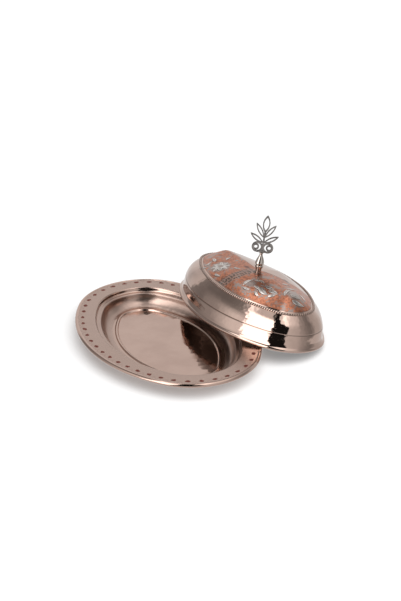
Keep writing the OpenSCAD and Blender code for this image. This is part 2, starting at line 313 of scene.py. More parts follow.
def hammer_marks(along: np.ndarray, up: np.ndarray, round_trip: float, cell: float,
                 seed: int, jitter: float = 0.55) -> np.ndarray:
    """Field of overlapping round hammer marks, in staggered rows.

    Args:
        along: Arc length round the oval.
        up: Length along the profile.
        round_trip: Length after which the rows of marks close.
        cell: Distance from one mark to the next.
        seed: Seed of the marks' scatter.
        jitter: Scatter of a mark as a share of the cell.

    Returns:
        For each point the squared distance to the nearest mark's middle, as a share of the
        cell: 0 in the middle of a mark and about 0.5 on the ridges between marks.
    """
    across = max(3, round(round_trip / cell))
    width = round_trip / across
    low = int(np.floor(up.min() / cell)) - 2
    levels = int(np.ceil(up.max() / cell)) + 3 - low
    scatter = np.random.default_rng(seed).random((across, levels, 2)) - 0.5
    column = np.floor(along / width).astype(int)
    level = np.floor(up / cell).astype(int) - low
    nearest = np.full(np.broadcast(along, up).shape, np.inf)
    for step_x in (-1, 0, 1):
        for step_y in (-1, 0, 1):
            i, j = column + step_x, np.clip(level + step_y, 0, levels - 1)
            shift = scatter[i % across, j] * jitter
            middle_x = i + 0.5 + shift[..., 0] + 0.5 * (j % 2)
            middle_y = j + low + 0.5 + shift[..., 1]
            gap = (along / width - middle_x) ** 2 + (up / cell - middle_y) ** 2
            nearest = np.minimum(nearest, gap)
    return nearest


@dataclass
class SurfaceMap:
    """A named UV map of a grid, with one more column than the points so that it can wrap."""

    name: str
    values: np.ndarray


def add_mesh(name: str, grid: np.ndarray, maps: list[SurfaceMap],
             marks: dict[str, np.ndarray] | None = None, close_rows: bool = False) -> Piece:
    """Puts grids of points, closed along their columns, into one mesh of quads.

    Args:
        name: Name of the piece.
        grid: Points in millimetres: rows by columns, or a stack of such grids.
        maps: UV maps in the same stacking, each with one column more than the points, and
            with one row more where the last row joins the first.
        marks: Values for each point, kept as float attributes.
        close_rows: Whether the last row joins the first.

    Returns:
        The piece, welded, smooth and with its faces outwards.
    """
    stack = grid if grid.ndim == 4 else grid[None]
    count, rows, cols = stack.shape[:3]
    index = np.arange(count * rows * cols).reshape(count, rows, cols)
    after = np.roll(index, -1, axis=2)
    both = (index, after)
    above, above_after = (np.roll(a, -1, axis=1) if close_rows else a[:, 1:] for a in both)
    below, below_after = (a if close_rows else a[:, :-1] for a in both)
    faces = np.stack([below, below_after, above_after, above], axis=-1).reshape(-1, 4)
    points = stack.reshape(-1, 3) * MM
    corners = points[faces]
    volume = np.einsum("ij,ij->", corners[:, 0], np.cross(corners[:, 1], corners[:, 2]))
    volume += np.einsum("ij,ij->", corners[:, 0], np.cross(corners[:, 2], corners[:, 3]))
    order = [0, 1, 2, 3] if volume > 0 else [3, 2, 1, 0]
    mesh = bpy.data.meshes.new(name)
    mesh.from_pydata(points, [], faces[:, order].tolist())
    for surface_map in maps:
        value = surface_map.values if surface_map.values.ndim == 4 else surface_map.values[None]
        top, low = value[:, 1:], value[:, :-1]
        corner = np.stack([low[:, :, :-1], low[:, :, 1:], top[:, :, 1:], top[:, :, :-1]], axis=3)
        layer = mesh.uv_layers.new(name=surface_map.name)
        layer.data.foreach_set("uv", corner.reshape(-1, 4, 2)[:, order].astype(np.float32).ravel())
    for mark, value in (marks or {}).items():
        attribute = mesh.attributes.new(mark, "FLOAT", "POINT")
        attribute.data.foreach_set("value", value.astype(np.float32).ravel())
    welded = bmesh.new()
    welded.from_mesh(mesh)
    bmesh.ops.remove_doubles(welded, verts=welded.verts, dist=WELD * MM)
    welded.to_mesh(mesh)
    welded.free()
    mesh.shade_smooth()
    return linked(name, mesh)


def linked(name: str, data: bpy.types.ID) -> Piece:
    """Returns a new object of a mesh, a light or a camera, which is part of the scene."""
    thing = bpy.data.objects.new(name, data)
    bpy.context.scene.collection.objects.link(thing)
    return thing


def facing(axes: list[np.ndarray], place: np.ndarray) -> Matrix:
    """Returns the placing of an object whose own X, Y and Z are the given axes."""
    matrix = np.eye(4)
    matrix[:3, :3] = np.stack(axes, axis=1)
    matrix[:3, 3] = place
    return Matrix(matrix.tolist())


def pair_map(name: str, u: np.ndarray, v: np.ndarray) -> SurfaceMap:
    """Returns a UV map of column values u, closing column included, and row values v."""
    return SurfaceMap(name, np.stack(np.broadcast_arrays(u[None, :], v[:, None]), axis=-1))


# ---- Shader helpers ----


class Signal:
    """A value of a material, on which Python's operators add Math nodes."""

    def __init__(self, wiring: "Wiring", socket: bpy.types.NodeSocket) -> None:
        """Keeps the socket and the node tree that it is in."""
        self.wiring = wiring
        self.socket = socket

    def _math(self, operation: str, *values: "Signal | float") -> "Signal":
        """Returns the result of a Math node."""
        settings = {"operation": operation}
        return self.wiring.value("Math", settings, dict(enumerate(values)))

    def __add__(self, other: "Signal | float") -> "Signal":
        """Returns self + other."""
        return self._math("ADD", self, other)

    __radd__ = __add__

    def __sub__(self, other: "Signal | float") -> "Signal":
        """Returns self - other."""
        return self._math("SUBTRACT", self, other)

    def __rsub__(self, other: "Signal | float") -> "Signal":
        """Returns other - self."""
        return self._math("SUBTRACT", other, self)

    def __mul__(self, other: "Signal | float") -> "Signal":
        """Returns self times other."""
        return self._math("MULTIPLY", self, other)

    __rmul__ = __mul__

    def __truediv__(self, other: "Signal | float") -> "Signal":
        """Returns self divided by other."""
        return self._math("DIVIDE", self, other)

    def __abs__(self) -> "Signal":
        """Returns the distance from 0."""
        return self._math("ABSOLUTE", self)

    def most(self, other: "Signal | float") -> "Signal":
        """Returns the larger of self and other."""
        return self._math("MAXIMUM", self, other)

    def angle(self, across: "Signal | float") -> "Signal":
        """Returns the angle in degrees whose tangent is self / across."""
        return self._math("ARCTAN2", self, across) * (180 / math.pi)

    def fraction(self) -> "Signal":
        """Returns the part after the point."""
        return self._math("FRACT", self)

    def root(self) -> "Signal":
        """Returns the square root."""
        return self._math("SQRT", self)

    def sine(self) -> "Signal":
        """Returns the sine of an angle in radians."""
        return self._math("SINE", self)

    def ramp(self, low: float, high: float) -> "Signal":
        """Returns a smooth step: 0 at low and 1 at high, or the other way if low is larger."""
        if low > high:
            return 1 - self.ramp(high, low)
        sockets = {"Value": self, "From Min": low, "From Max": high}
        return self.wiring.value("MapRange", {"interpolation_type": "SMOOTHSTEP"}, sockets)

    def within(self, band: Band) -> "Signal":
        """Returns a band that rises over the first pair of values and falls over the second."""
        return self.ramp(*band[0]) * self.ramp(*band[1])

    def hypot(self, other: "Signal", share: float = 1.0, other_share: float = 1.0) -> "Signal":
        """Returns the root of self squared times its share plus other squared times its own."""
        return (self * self * share + other * other * other_share).root()


class Wiring:
    """Adds and links the nodes of one material or world."""

    def __init__(self, tree: bpy.types.NodeTree) -> None:
        """Starts from an empty node tree."""
        tree.nodes.clear()
        self.tree = tree

    def add(self, kind: str, settings: dict | None = None,
            sockets: dict | None = None) -> bpy.types.Node:
        """Adds a node.

        Args:
            kind: The node's type, without the Shader Node prefix.
            settings: The node's own settings, which are set first. "stops" are a ramp's.
            sockets: Values or links, by the socket's name, identifier or number.

        Returns:
            The node.
        """
        node = self.tree.nodes.new("ShaderNode" + kind)
        for name, value in (settings or {}).items():
            if name == "stops":
                self._set_stops(node.color_ramp, value)
            else:
                setattr(node, name, value)
        for key, value in (sockets or {}).items():
            self.feed(self._input(node, key), value)
        return node

    def value(self, kind: str, settings: dict | None = None, sockets: dict | None = None,
              output: int | str = 0) -> Signal:
        """Adds a node and returns one of its outputs as a signal."""
        return Signal(self, self.add(kind, settings, sockets).outputs[output])

    def feed(self, socket: bpy.types.NodeSocket, value: object) -> None:
        """Links a signal to a socket, or sets the socket's own value."""
        if isinstance(value, Signal):
            self.tree.links.new(value.socket, socket)
        elif isinstance(value, bpy.types.NodeSocket):
            self.tree.links.new(value, socket)
        elif socket.type == "RGBA" and len(value) == 3:
            socket.default_value = (*value, 1)
        else:
            socket.default_value = value

    def mix(self, factor: Signal | float, first: object, second: object) -> Signal:
        """Returns a colour between two, by a factor from 0 to 1."""
        sockets = {"Factor_Float": factor, "A_Color": first, "B_Color": second}
        node = self.add("Mix", {"data_type": "RGBA"}, sockets)
        return Signal(self, next(s for s in node.outputs if s.identifier == "Result_Color"))

    def noise(self, scale: float, detail: float = 2.0, rough: float = 0.5,
              place: Signal | None = None) -> Signal:
        """Returns a noise from 0 to 1, on object coordinates in metres unless a place is given."""
        sockets = {"Vector": place or self.place(), "Scale": scale}
        return self.value("TexNoise", None, sockets | {"Detail": detail, "Roughness": rough})

    def cells(self, scale: float, place: Signal, scatter: float = 1.0) -> Signal:
        """Returns the distance to the nearest of many scattered points, as a share of a cell."""
        sockets = {"Vector": place, "Scale": scale, "Randomness": scatter}
        return self.value("TexVoronoi", {"voronoi_dimensions": "2D"}, sockets)

    def place(self) -> Signal:
        """Returns the object coordinates."""
        return self.value("TexCoord", output="Object")

    def surface(self, name: str) -> Signal:
        """Returns the piece's own UV map of that name."""
        return self.value("UVMap", {"uv_map": name}, output="UV")

    def split(self, vector: Signal) -> tuple[Signal, Signal, Signal]:
        """Returns the three parts of a vector."""
        node = self.add("SeparateXYZ", None, {"Vector": vector})
        return tuple(Signal(self, output) for output in node.outputs)

    def join(self, x: object, y: object, z: object = 0.0) -> Signal:
        """Returns a vector of three parts."""
        return self.value("CombineXYZ", None, {"X": x, "Y": y, "Z": z})

    def mark(self, name: str) -> Signal:
        """Returns the piece's own float attribute of that name."""
        return self.value("Attribute", {"attribute_name": name}, output="Fac")

    def bump(self, height: Signal, distance: float, strength: float = 1.0) -> Signal:
        """Returns a normal from a height, where distance is the height of 1 in metres."""
        sockets = {"Height": height, "Distance": distance, "Strength": strength}
        return self.value("Bump", None, sockets)

    @staticmethod
    def _set_stops(ramp: bpy.types.ColorRamp, stops: list[tuple[float, tuple[float, ...]]]) -> None:
        """Sets a ramp's stops, each a position and a colour."""
        while len(ramp.elements) < len(stops):
            ramp.elements.new(1.0)
        for element, (position, colour) in zip(ramp.elements, stops):
            element.position = position
            element.color = (*colour[:3], 1)

    @staticmethod
    def _input(node: bpy.types.Node, key: int | str) -> bpy.types.NodeSocket:
        """Returns an input by number, identifier or name."""
        if isinstance(key, int):
            return node.inputs[key]
        return next(s for s in node.inputs if key in (s.identifier, s.name))


class Slot(Enum):
    """The record's material slots."""

    DISH = "tinned_dish"
    LID = "tinned_lid"
    WIRE = "wire"
    FINIAL = "finial_metal"
    ORNAMENT = "ornament_metal"
    FASTENER = "fastener"


@dataclass(frozen=True)
class Finish:
    """A polished or brushed metal with a slight unevenness of tint and gloss."""

    name: str = "metal"
    colour: Triple = (0.6, 0.45, 0.39)
    stain: Triple = (0.5, 0.36, 0.3)
    stain_scale: float = 40.0
    gloss: float = 0.12
    gloss_change: float = 0.1
    gloss_scale: float = 2.3
    cloud: Pair = (0.35, 0.7)
    cloud_detail: float = 3.0
    grain_scale: float = 900.0
    grain_um: float = 4.0

    def build(self) -> bpy.types.Material:
        """Makes the material.

        Returns:
            A metal whose base colour, roughness and fine grain vary over the surface.
        """
        material = bpy.data.materials.new(self.name)
        material.use_nodes = True
        wiring = Wiring(material.node_tree)
        tint, rough, height = self.layers(wiring)
        sockets = {"Base Color": tint, "Roughness": rough, "Metallic": 1.0}
        shader = wiring.add("BsdfPrincipled", None, sockets)
        wiring.feed(shader.inputs["Normal"], wiring.bump(height, UM))
        wiring.add("OutputMaterial", None, {"Surface": shader.outputs[0]})
        return material

    def layers(self, wiring: Wiring) -> tuple[Signal, Signal, Signal]:
        """Works out what varies over the surface. Each finish adds its own marks to it.

        Args:
            wiring: The material's nodes.

        Returns:
            Base colour, roughness and the height of the grain in micrometres.
        """
        cloud = wiring.noise(self.stain_scale, self.cloud_detail).ramp(*self.cloud)
        tint = wiring.mix(cloud, self.colour, self.stain)
        change = wiring.noise(self.stain_scale * self.gloss_scale)
        rough = change * self.gloss_change + (self.gloss - self.gloss_change / 2)
        return tint, rough, wiring.noise(self.grain_scale) * self.grain_um


@dataclass(frozen=True)
class DishTin(Finish):
    """Tinned copper of the dish, with the copper bare in the punched dots."""

    name: str = "dish_tin"
    colour: Triple = (0.56, 0.4, 0.335)
    stain: Triple = (0.51, 0.36, 0.3)
    # The rim takes this darker tone as a stain; on the bowl's wall the same tone is painted shade
    # that dims the wall's reflection of the soft box.
    rim_stain_and_wall_shade: Triple = (0.44, 0.32, 0.27)
    rim_and_wall_shade_share: float = 0.8
    gloss: float = 0.1
    gloss_change: float = 0.05
    rim_dull: float = 0.14
    wall_dull: float = 0.19
    dot_dull: float = 0.35
    rim: Pair = (19.0, 17.0)
    wall: Band = ((18.0, 20.0), (34.0, 31.0))
    floor: Band = ((37.0, 38.0), (90.0, 80.0))
    dot_colour: Triple = (0.2, 0.055, 0.04)
    dot_share: float = 0.95
    dot_inset: float = 6.8
    dot_pitch: float = 11.4
    dot_r: float = 2.25
    dot_edge: float = 0.7
    dot_shape: Pair = (0.8, 1.3)
    ragged_scale: float = 500.0
    ragged: float = 3.0
    scallop_r: float = 4.8
    scallop_line: Pair = (0.35, 0.1)
    scallop_side: Pair = (1.0, -1.5)
    scallop_from: Pair = (3.2, 4.6)
    scallop_share: float = 0.3
    facet_cell: float = 6.5
    facet_um: float = 90.0
    scratch_scale: Pair = (60.0, 1500.0)
    scratch_noise: Triple = (1.0, 3.0, 0.7)
    scratch_um: float = 0.4

    def layers(self, wiring: Wiring) -> tuple[Signal, Signal, Signal]:
        """Adds the dots' bare copper, the chased arcs round them and the floor's facets.

        Args:
            wiring: The material's nodes.

        Returns:
            Base colour, roughness and the height of the grain in micrometres.
        """
        tint, rough, grain = super().layers(wiring)
        dot_number, inset, _ = wiring.split(wiring.surface("rim"))
        side = (dot_number.fraction() - 0.5) * self.dot_pitch
        depth = inset - self.dot_inset
        reach = side.hypot(depth, *self.dot_shape)
        ragged = reach + (wiring.noise(self.ragged_scale) - 0.5) * self.ragged
        dot = ragged.ramp(self.dot_r, self.dot_r - self.dot_edge)
        line = abs(reach - self.scallop_r).ramp(*self.scallop_line)
        arc = line * depth.ramp(*self.scallop_side) * ragged.ramp(*self.scallop_from)
        rim, wall, floor = inset.ramp(*self.rim), inset.within(self.wall), inset.within(self.floor)
        tint = wiring.mix(rim * self.rim_and_wall_shade_share, tint, self.rim_stain_and_wall_shade)
        tint = wiring.mix(arc * self.scallop_share, tint, self.dot_colour)
        tint = wiring.mix(dot * self.dot_share, tint, self.dot_colour)
        # Painted shade: the bowl's wall is darkened to dim its bright reflection of the soft box.
        tint = wiring.mix(wall * self.rim_and_wall_shade_share, tint, self.rim_stain_and_wall_shade)
        x, y, z = wiring.split(wiring.place())
        size = self.facet_cell * MM
        cell = wiring.cells(1.0, wiring.join(x / size, y / size))
        brushed = wiring.join(x * self.scratch_scale[0], y * self.scratch_scale[1], z)
        scratches = wiring.noise(*self.scratch_noise, brushed)
        grain = grain + floor * (cell * cell * self.facet_um + scratches * self.scratch_um)
        dull = dot * self.dot_dull + rim * self.rim_dull + wall * self.wall_dull
        return tint, rough + dull, grain


@dataclass(frozen=True)
class LidTin(Finish):
    """Tinned copper of the lid: plain walls, bare copper on the roof's panels, and a dull inside
    painted near-black as shade.
    """

    name: str = "lid_tin"
    colour: Triple = (0.56, 0.41, 0.345)
    stain: Triple = (0.5, 0.36, 0.305)
    gloss: float = 0.08
    gloss_change: float = 0.05
    copper_dull: float = 0.2
    inside_dull: float = 0.3
    copper: Triple = (0.55, 0.22, 0.13)
    dark_copper: Triple = (0.14, 0.055, 0.04)
    worn: Triple = (0.36, 0.31, 0.285)
    # Painted shade: near-black for the lid's inside and for its groove; the stippled pits take this
    # dark colour too.
    inside: Triple = (0.14, 0.1, 0.08)
    inside_from: float = 150.0
    groove_shade_share: float = 0.75
    copper_from: Pair = (0.4, 0.6)
    streaks: Triple = (0.45, 4.0, 0.65)
    ragged: float = 0.6
    tarnish: Pair = (0.38, 0.66)
    tarnish_share: float = 0.7
    patches: Triple = (0.09, 3.0, 0.6)
    patch_edge: Pair = (0.52, 0.63)
    patch_share: float = 0.85
    motifs: tuple[Triple, ...] = ((-25.0, -22.5, 10.0), (51.0, 3.0, 8.5), (19.0, -20.0, 6.0))
    motif_edge: float = 3.0
    motif_ragged: float = 8.0
    outline: Pair = (0.35, 0.1)
    outline_share: float = 0.6
    pit_scale: float = 0.4
    pit_scatter: float = 0.5
    pit_edge: Pair = (0.46, 0.32)
    pit_um: float = 60.0
    band_half: float = 6.0
    band_ragged: float = 2.0
    band_soft: float = 1.0
    band_from: Pair = (-3.0, -6.0)
    band_share: float = 0.5
    crest_turn: float = 36.0
    crest: Band = ((4.0, 6.0), (26.0, 24.0))
    crest_line: Pair = (0.8, 0.2)
    # The first blob, left of the finial, is a painted shadow of the finial on the roof; the second
    # lies at the crest line's far end.
    blobs: tuple[Pair, ...] = ((-9.0, -6.0), (21.5, 15.5))
    blob_edge: Pair = (2.6, 1.2)
    blob_long: float = 0.4
    blob_ragged: float = 3.0
    dark_share: float = 0.85

    def layers(self, wiring: Wiring) -> tuple[Signal, Signal, Signal]:
        """Adds the roof's copper, its stippled band, painted shade in the groove and the dull
        inside, which is painted near-black as shade.

        Args:
            wiring: The material's nodes.

        Returns:
            Base colour, roughness and the height of the grain in micrometres.
        """
        tint, rough, grain = super().layers(wiring)
        plan = wiring.surface("plan")
        x, y, _ = wiring.split(plan)
        streaks = wiring.noise(*self.streaks, plan)
        ragged = (streaks - 0.5) * self.ragged
        copper_edge = wiring.mark("copper") + ragged
        copper = copper_edge.ramp(*self.copper_from)
        patches = (wiring.noise(*self.patches, plan) + ragged).ramp(*self.patch_edge)
        for at_x, at_y, size in self.motifs:
            reach = (x - at_x).hypot(y - at_y) + (streaks - 0.5) * self.motif_ragged
            patches = patches.most(reach.ramp(size, size - self.motif_edge))
        tarnish = streaks.ramp(*self.tarnish) * self.tarnish_share
        roof = wiring.mix(tarnish, self.copper, self.dark_copper)
        roof = wiring.mix(patches * self.patch_share, roof, self.worn)
        outline = abs(copper_edge - 0.5).ramp(*self.outline)
        roof = wiring.mix(outline * self.outline_share, roof, self.dark_copper)
        pits = wiring.cells(self.pit_scale, plan, self.pit_scatter).ramp(*self.pit_edge)
        edge = self.band_half + self.band_soft, self.band_half - self.band_soft
        band = (abs(x) + streaks * self.band_ragged).ramp(*edge)
        band = band * y.ramp(*self.band_from) * copper
        roof = wiring.mix(band * self.band_share, roof, self.worn)
        roof = wiring.mix(pits * band, roof, self.inside)
        tint = wiring.mix(copper, tint, roof)
        dark = self.crest_marks(x, y, streaks) * wiring.mark("roof")
        tint = wiring.mix(dark * self.dark_share, tint, self.dark_copper)
        # Painted shade: the groove round the wall is darkened toward the inside colour.
        tint = wiring.mix(wiring.mark("groove") * self.groove_shade_share, tint, self.inside)
        _, up, _ = wiring.split(wiring.surface("wall"))
        # Painted shade: past inside_from on the wall map the lid's inside takes the near-black
        # inside colour.
        within = up.ramp(self.inside_from - 1, self.inside_from)
        tint = wiring.mix(within, tint, self.inside)
        rough = rough + copper * self.copper_dull + within * self.inside_dull
        return tint, rough, grain - pits * band * self.pit_um

    def crest_marks(self, x: Signal, y: Signal, streaks: Signal) -> Signal:
        """Works out the dark line along a crest of the roof and the two dark blobs, the first of
        which is a painted shadow of the finial.

        Args:
            x: Place along the lid.
            y: Place across the lid.
            streaks: Noise that frays the marks' edges.

        Returns:
            1 on the marks and 0 beside them.
        """
        turn = math.radians(self.crest_turn)
        ahead = x * math.cos(turn) + y * math.sin(turn)
        aside = y * math.cos(turn) - x * math.sin(turn)
        dark = (abs(aside) + streaks - 0.5).ramp(*self.crest_line) * ahead.within(self.crest)
        # Painted shadow: the first blob is the finial's shadow on the roof.
        for at_x, at_y in self.blobs:
            reach = (x - at_x).hypot(y - at_y, self.blob_long)
            reach = reach + (streaks - 0.5) * self.blob_ragged
            dark = dark.most(reach.ramp(*self.blob_edge))
        return dark


@dataclass(frozen=True)
class RopeTin(Finish):
    """Tin of the roped bead, with painted shade darkening the lay between the strands."""

    name: str = "rope_tin"
    gloss: float = 0.22
    # Painted shade colour for the lay between the strands.
    lay: Triple = (0.09, 0.06, 0.05)
    lay_edge: Pair = (0.2, 0.42)
    lay_dull: float = 0.3

    def layers(self, wiring: Wiring) -> tuple[Signal, Signal, Signal]:
        """Adds painted shade in the lay between the strands.

        Args:
            wiring: The material's nodes.

        Returns:
            Base colour, roughness and the height of the grain in micrometres.
        """
        tint, rough, grain = super().layers(wiring)
        strand, around, _ = wiring.split(wiring.surface("rope"))
        # Painted shade: the lay, the groove between the strands, is darkened and dulled.
        lay = abs((strand + around).fraction() - 0.5).ramp(*self.lay_edge)
        return wiring.mix(lay, tint, self.lay), rough + lay * self.lay_dull, grain


@dataclass(frozen=True)
class ReliefTin(Finish):
    """Silvery leaves of the roof, with dark outlines and veins."""

    name: str = "relief_tin"
    colour: Triple = (0.7, 0.64, 0.6)
    stain: Triple = (0.45, 0.4, 0.37)
    stain_scale: float = 220.0
    gloss: float = 0.16
    outline: Triple = (0.1, 0.065, 0.055)
    outline_edge: Pair = (0.72, 0.95)
    vein_edge: Pair = (0.14, 0.03)
    vein_share: float = 0.8
    dark_dull: float = 0.3

    def layers(self, wiring: Wiring) -> tuple[Signal, Signal, Signal]:
        """Adds the outlines, where the leaf's section is at its widest, and the vein.

        Args:
            wiring: The material's nodes.

        Returns:
            Base colour, roughness and the height of the grain in micrometres.
        """
        tint, rough, grain = super().layers(wiring)
        around, _, _ = wiring.split(wiring.surface("leaf"))
        side = abs((around * FULL_TURN + math.pi / 2).sine())
        vein = side.ramp(*self.vein_edge) * self.vein_share
        dark = side.ramp(*self.outline_edge).most(vein)
        return wiring.mix(dark, tint, self.outline), rough + dark * self.dark_dull, grain


# ---- The object ----


@dataclass
class Dish:
    """The oval dish: rolled edge, dotted rim, ledge, hammered bowl and beaded floor."""

    oval: Oval = field(default_factory=Oval)
    height: float = 15.0
    sheet: float = 0.9
    rim_w: float = 17.8
    step_run: float = 1.0
    ledge_drop: float = 3.6
    ledge_w: float = 3.8
    wall_run: float = 2.6
    bowl_bend_r: float = 9.0
    step_bend_r: float = 1.5
    roll_r: float = 1.75
    roll_proud: float = 0.4
    bead_inset: float = 36.0
    bead_r: float = 1.4
    bead_rise: float = 1.2
    dots: int = 46
    dot_inset: float = 6.8
    dot_r: float = 1.3
    dot_depth: float = 0.3
    mark_cell: float = 4.2
    mark_depth: float = 0.12
    mark_seed: int = 11
    mark_fade: Triple = (0.6, 1.0, 3.0)
    in_end: int = 76
    in_side: int = 131
    inner_rows: int = 5
    roll_points: int = 20
    step: float = 0.62
    floor_step: Triple = (30.0, 60.0, 2.4)
    dot_reach: float = 7.6
    fine: tuple[Triple, ...] = ((17.8, 2.4, 0.4), (21.8, 3.6, 0.4), (27.0, 6.5, 0.85),
                                (36.0, 2.0, 0.25))
    under_step: float = 3.2
    under_fine: tuple[Triple, ...] = ((17.8, 3.0, 0.8), (23.8, 5.0, 0.8))
    under_mark: float = 10.0
    under_inset: float = 100.0

    @property
    def rim_z(self) -> float:
        """Returns the height of the flat rim."""
        return self.height - self.roll_proud

    def top(self) -> Profile:
        """Returns the top surface of the sheet, from the rolled edge to the middle."""
        ledge_z = self.rim_z - self.ledge_drop
        ledge_end = self.rim_w + self.step_run + self.ledge_w
        corners = [(self.roll_r, self.rim_z), (self.rim_w, self.rim_z),
                   (self.rim_w + self.step_run, ledge_z), (ledge_end, ledge_z),
                   (ledge_end + self.wall_run, self.sheet), (self.oval.end_r, self.sheet)]
        return Profile.bent(corners, [self.step_bend_r] * 3 + [self.bowl_bend_r])

    def rows(self) -> tuple[np.ndarray, np.ndarray]:
        """Profile of the whole sheet, from the floor's top over the rim to its underside.

        Its steps are small at the details: fine and under_fine hold for each of these its
        inset, the half width of its stretch and the step there.

        Returns:
            Profile points, and for each the arc length along the top, or under -under_mark
            on the underside.
        """
        roll_at = (self.roll_r, self.height - self.roll_r)
        top, low = self.top(), self.top().offset(-self.sheet)
        top, low = top.outside(roll_at, self.roll_r), low.outside(roll_at, self.roll_r)
        rim_step = (self.dot_reach, self.dot_reach, self.step)
        details = [(top.place_of(at), half, small) for at, half, small in self.fine]
        upper = stations(top.along[-1], self.step, [self.floor_step, rim_step] + details)
        details = [(low.place_of(at), half, small) for at, half, small in self.under_fine]
        under = stations(low.along[-1], self.under_step, details)
        above, beneath = top.at(upper), low.at(under)
        crown = self.bead_r**2 - (above[:, 0] - self.bead_inset) ** 2
        bead_z = self.sheet + self.bead_rise - self.bead_r + np.sqrt(np.maximum(crown, 0))
        above[:, 1] = np.where(crown > 0, np.maximum(above[:, 1], bead_z), above[:, 1])
        roll = roll_arc(roll_at, self.roll_r, above[0], beneath[0], self.roll_points)
        points = np.concatenate([above[::-1], roll[1:-1], beneath])
        on_roll = np.full(len(roll) - 2, ON_ROLL)
        place = np.concatenate([upper[::-1], on_roll, -self.under_mark - under])
        return points, place

    def build(self, finish: Finish) -> Piece:
        """Makes the dish.

        The profile goes round the oval. On the rim the surface drops by
        depth (1 - (r / dot_r)^2)^2 within each dot, and on the bowl's wall it is pushed in
        by the hammer marks.

        Args:
            finish: What the dish is made of.

        Returns:
            The piece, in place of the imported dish.
        """
        columns = self.oval.columns(self.dot_inset, self.in_end, self.in_side)
        rows, place = self.rows()
        grid = swept(columns, rows, self.inner_rows, True, True)
        inset, place = (np.pad(v, self.inner_rows, "edge")[:, None] for v in (rows[:, 0], place))
        round_trip = columns.along[-1]
        pitch = round_trip / self.dots
        side = (columns.along[None, :-1] / pitch % 1 - 0.5) * pitch
        on_top = place >= 0
        reach = np.hypot(side, inset - self.dot_inset) / self.dot_r
        dent = self.dot_depth * np.clip(1 - reach**2, 0, 1) ** 2 * on_top
        start, end = self.rim_w + self.step_run + self.ledge_w, self.bead_inset - self.bead_r
        before, after, short = self.mark_fade
        walls = smooth_step(start - before, start + after, inset)
        walls = walls * smooth_step(end, end - short, inset)
        along = columns.along[None, :-1]
        marks = hammer_marks(along, place, round_trip, self.mark_cell, self.mark_seed)
        dent = dent + self.mark_depth * np.clip(MARK_EDGE - marks, 0, 1) * walls * on_top
        grid[..., 2] -= dent
        u = columns.along / pitch
        v = np.where(on_top, inset, inset + self.under_inset)[:, 0]
        piece = add_mesh("dish", grid, [pair_map("rim", u, v)])
        piece.data.materials.append(finish.build())
        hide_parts("dish_pan")
        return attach(piece, "dish")


@dataclass
class Lean:
    """How the lid leans: its near edge on the dish's rolled edge, its far edge on the table."""

    dish: Dish
    lid_in: float
    roll_r: float
    shift: Pair = (2.0, 81.0)
    turn: float = 4.0
    gap: float = 0.3

    def place(self, points: np.ndarray) -> np.ndarray:
        """Moves points from the lid's own frame, with its lip at height 0, to the row's.

        The lid turns on the table, and then tips about the line between the two places where
        its lip crosses the dish's edge, seen from above.

        Args:
            points: Points in the lid's frame.

        Returns:
            The points as the lid leans.
        """
        matrix, move = self._pose()
        return points @ matrix.T + move

    def _pose(self) -> tuple[np.ndarray, np.ndarray]:
        """Returns the lid's turn as a matrix, and its move."""
        oval = self.dish.oval
        lip_r = oval.end_r - self.lid_in - self.roll_r
        edge_r = oval.side_r - self.dish.roll_r
        middle = np.array(self.shift)
        end = (turn_about_z(self.turn) @ [oval.end_x, 0, 0])[:2]
        dish_centre = np.array([0, -oval.side_y])
        right = self._crossing(dish_centre, edge_r, middle + end, lip_r, 1)
        left = self._crossing(dish_centre, edge_r, middle - end, lip_r, -1)
        span = right - left
        direction = math.degrees(math.atan2(span[1], span[0]))
        downhill = (turn_about_z(direction) @ [0, 1, 0])[:2]
        near = (middle - right) @ downhill
        far = oval.side_r - self.lid_in - self.roll_r
        far += (turn_about_z(self.turn) @ [0, -oval.side_y, 0])[:2] @ downhill
        lean = math.asin((self.dish.height + self.gap) / (near + far))
        lift = far * math.sin(lean) + self.roll_r * (1 - math.cos(lean))
        tip = turn_about_x(-math.degrees(lean)) @ turn_about_z(self.turn - direction)
        return turn_about_z(direction) @ tip, np.array([*self.shift, lift])

    @staticmethod
    def _crossing(c1: np.ndarray, r1: float, c2: np.ndarray, r2: float, side: int) -> np.ndarray:
        """Returns where two circles meet, on the right (1) or the left (-1)."""
        gap = np.linalg.norm(c2 - c1)
        ahead = (c2 - c1) / gap
        along = (r1**2 - r2**2 + gap**2) / (2 * gap)
        across = math.sqrt(r1**2 - along**2)
        return c1 + ahead * along - np.array([-ahead[1], ahead[0]]) * across * side


PETALS, PETAL_TURN, PETAL_FROM, FLOWER_AT = 8, 12, 1.2, (-25.0, -22.5)
PETAL = (7.4, 2.1, 25.0)  # Length, half width and curl.
LEAVES = (  # x, y, heading, length, half width and curl.
    (-37.5, -20.5, 160, 9, 1.8, 30), (-36, -29, 205, 8, 1.6, -40), (-18.5, -32, 3, 8, 1.5, 40),
    (-15, -16, 25, 8, 1.5, 50), (-33, -12.5, 100, 7, 1.4, -40), (-40, -29, 98, 8, 1.5, 20),
    (27.5, -15.5, -6, 14, 3.0, 55), (28, -11, 19, 11, 2.0, 60), (37, -14.5, 24, 10, 2.6, -60),
    (42, -18.5, 70, 8, 1.9, 40), (17, -26.5, 97, 12.5, 1.7, -60), (15.5, -15, 27, 11, 1.7, -60),
    (17.5, -27, 22, 9, 1.5, 60), (23, -20.5, 5, 10, 1.8, -70), (30, -22, -10, 8, 1.5, 50),
    (51.5, -7, 122, 15, 1.9, -50), (56.5, -3, 57, 12, 2.6, 50), (51, -2, 66, 11, 2.2, 50),
    (47, 11, 10, 10, 1.7, -50), (40, 2, 95, 10, 1.5, 45), (31, 4, 80, 8, 1.4, -45))


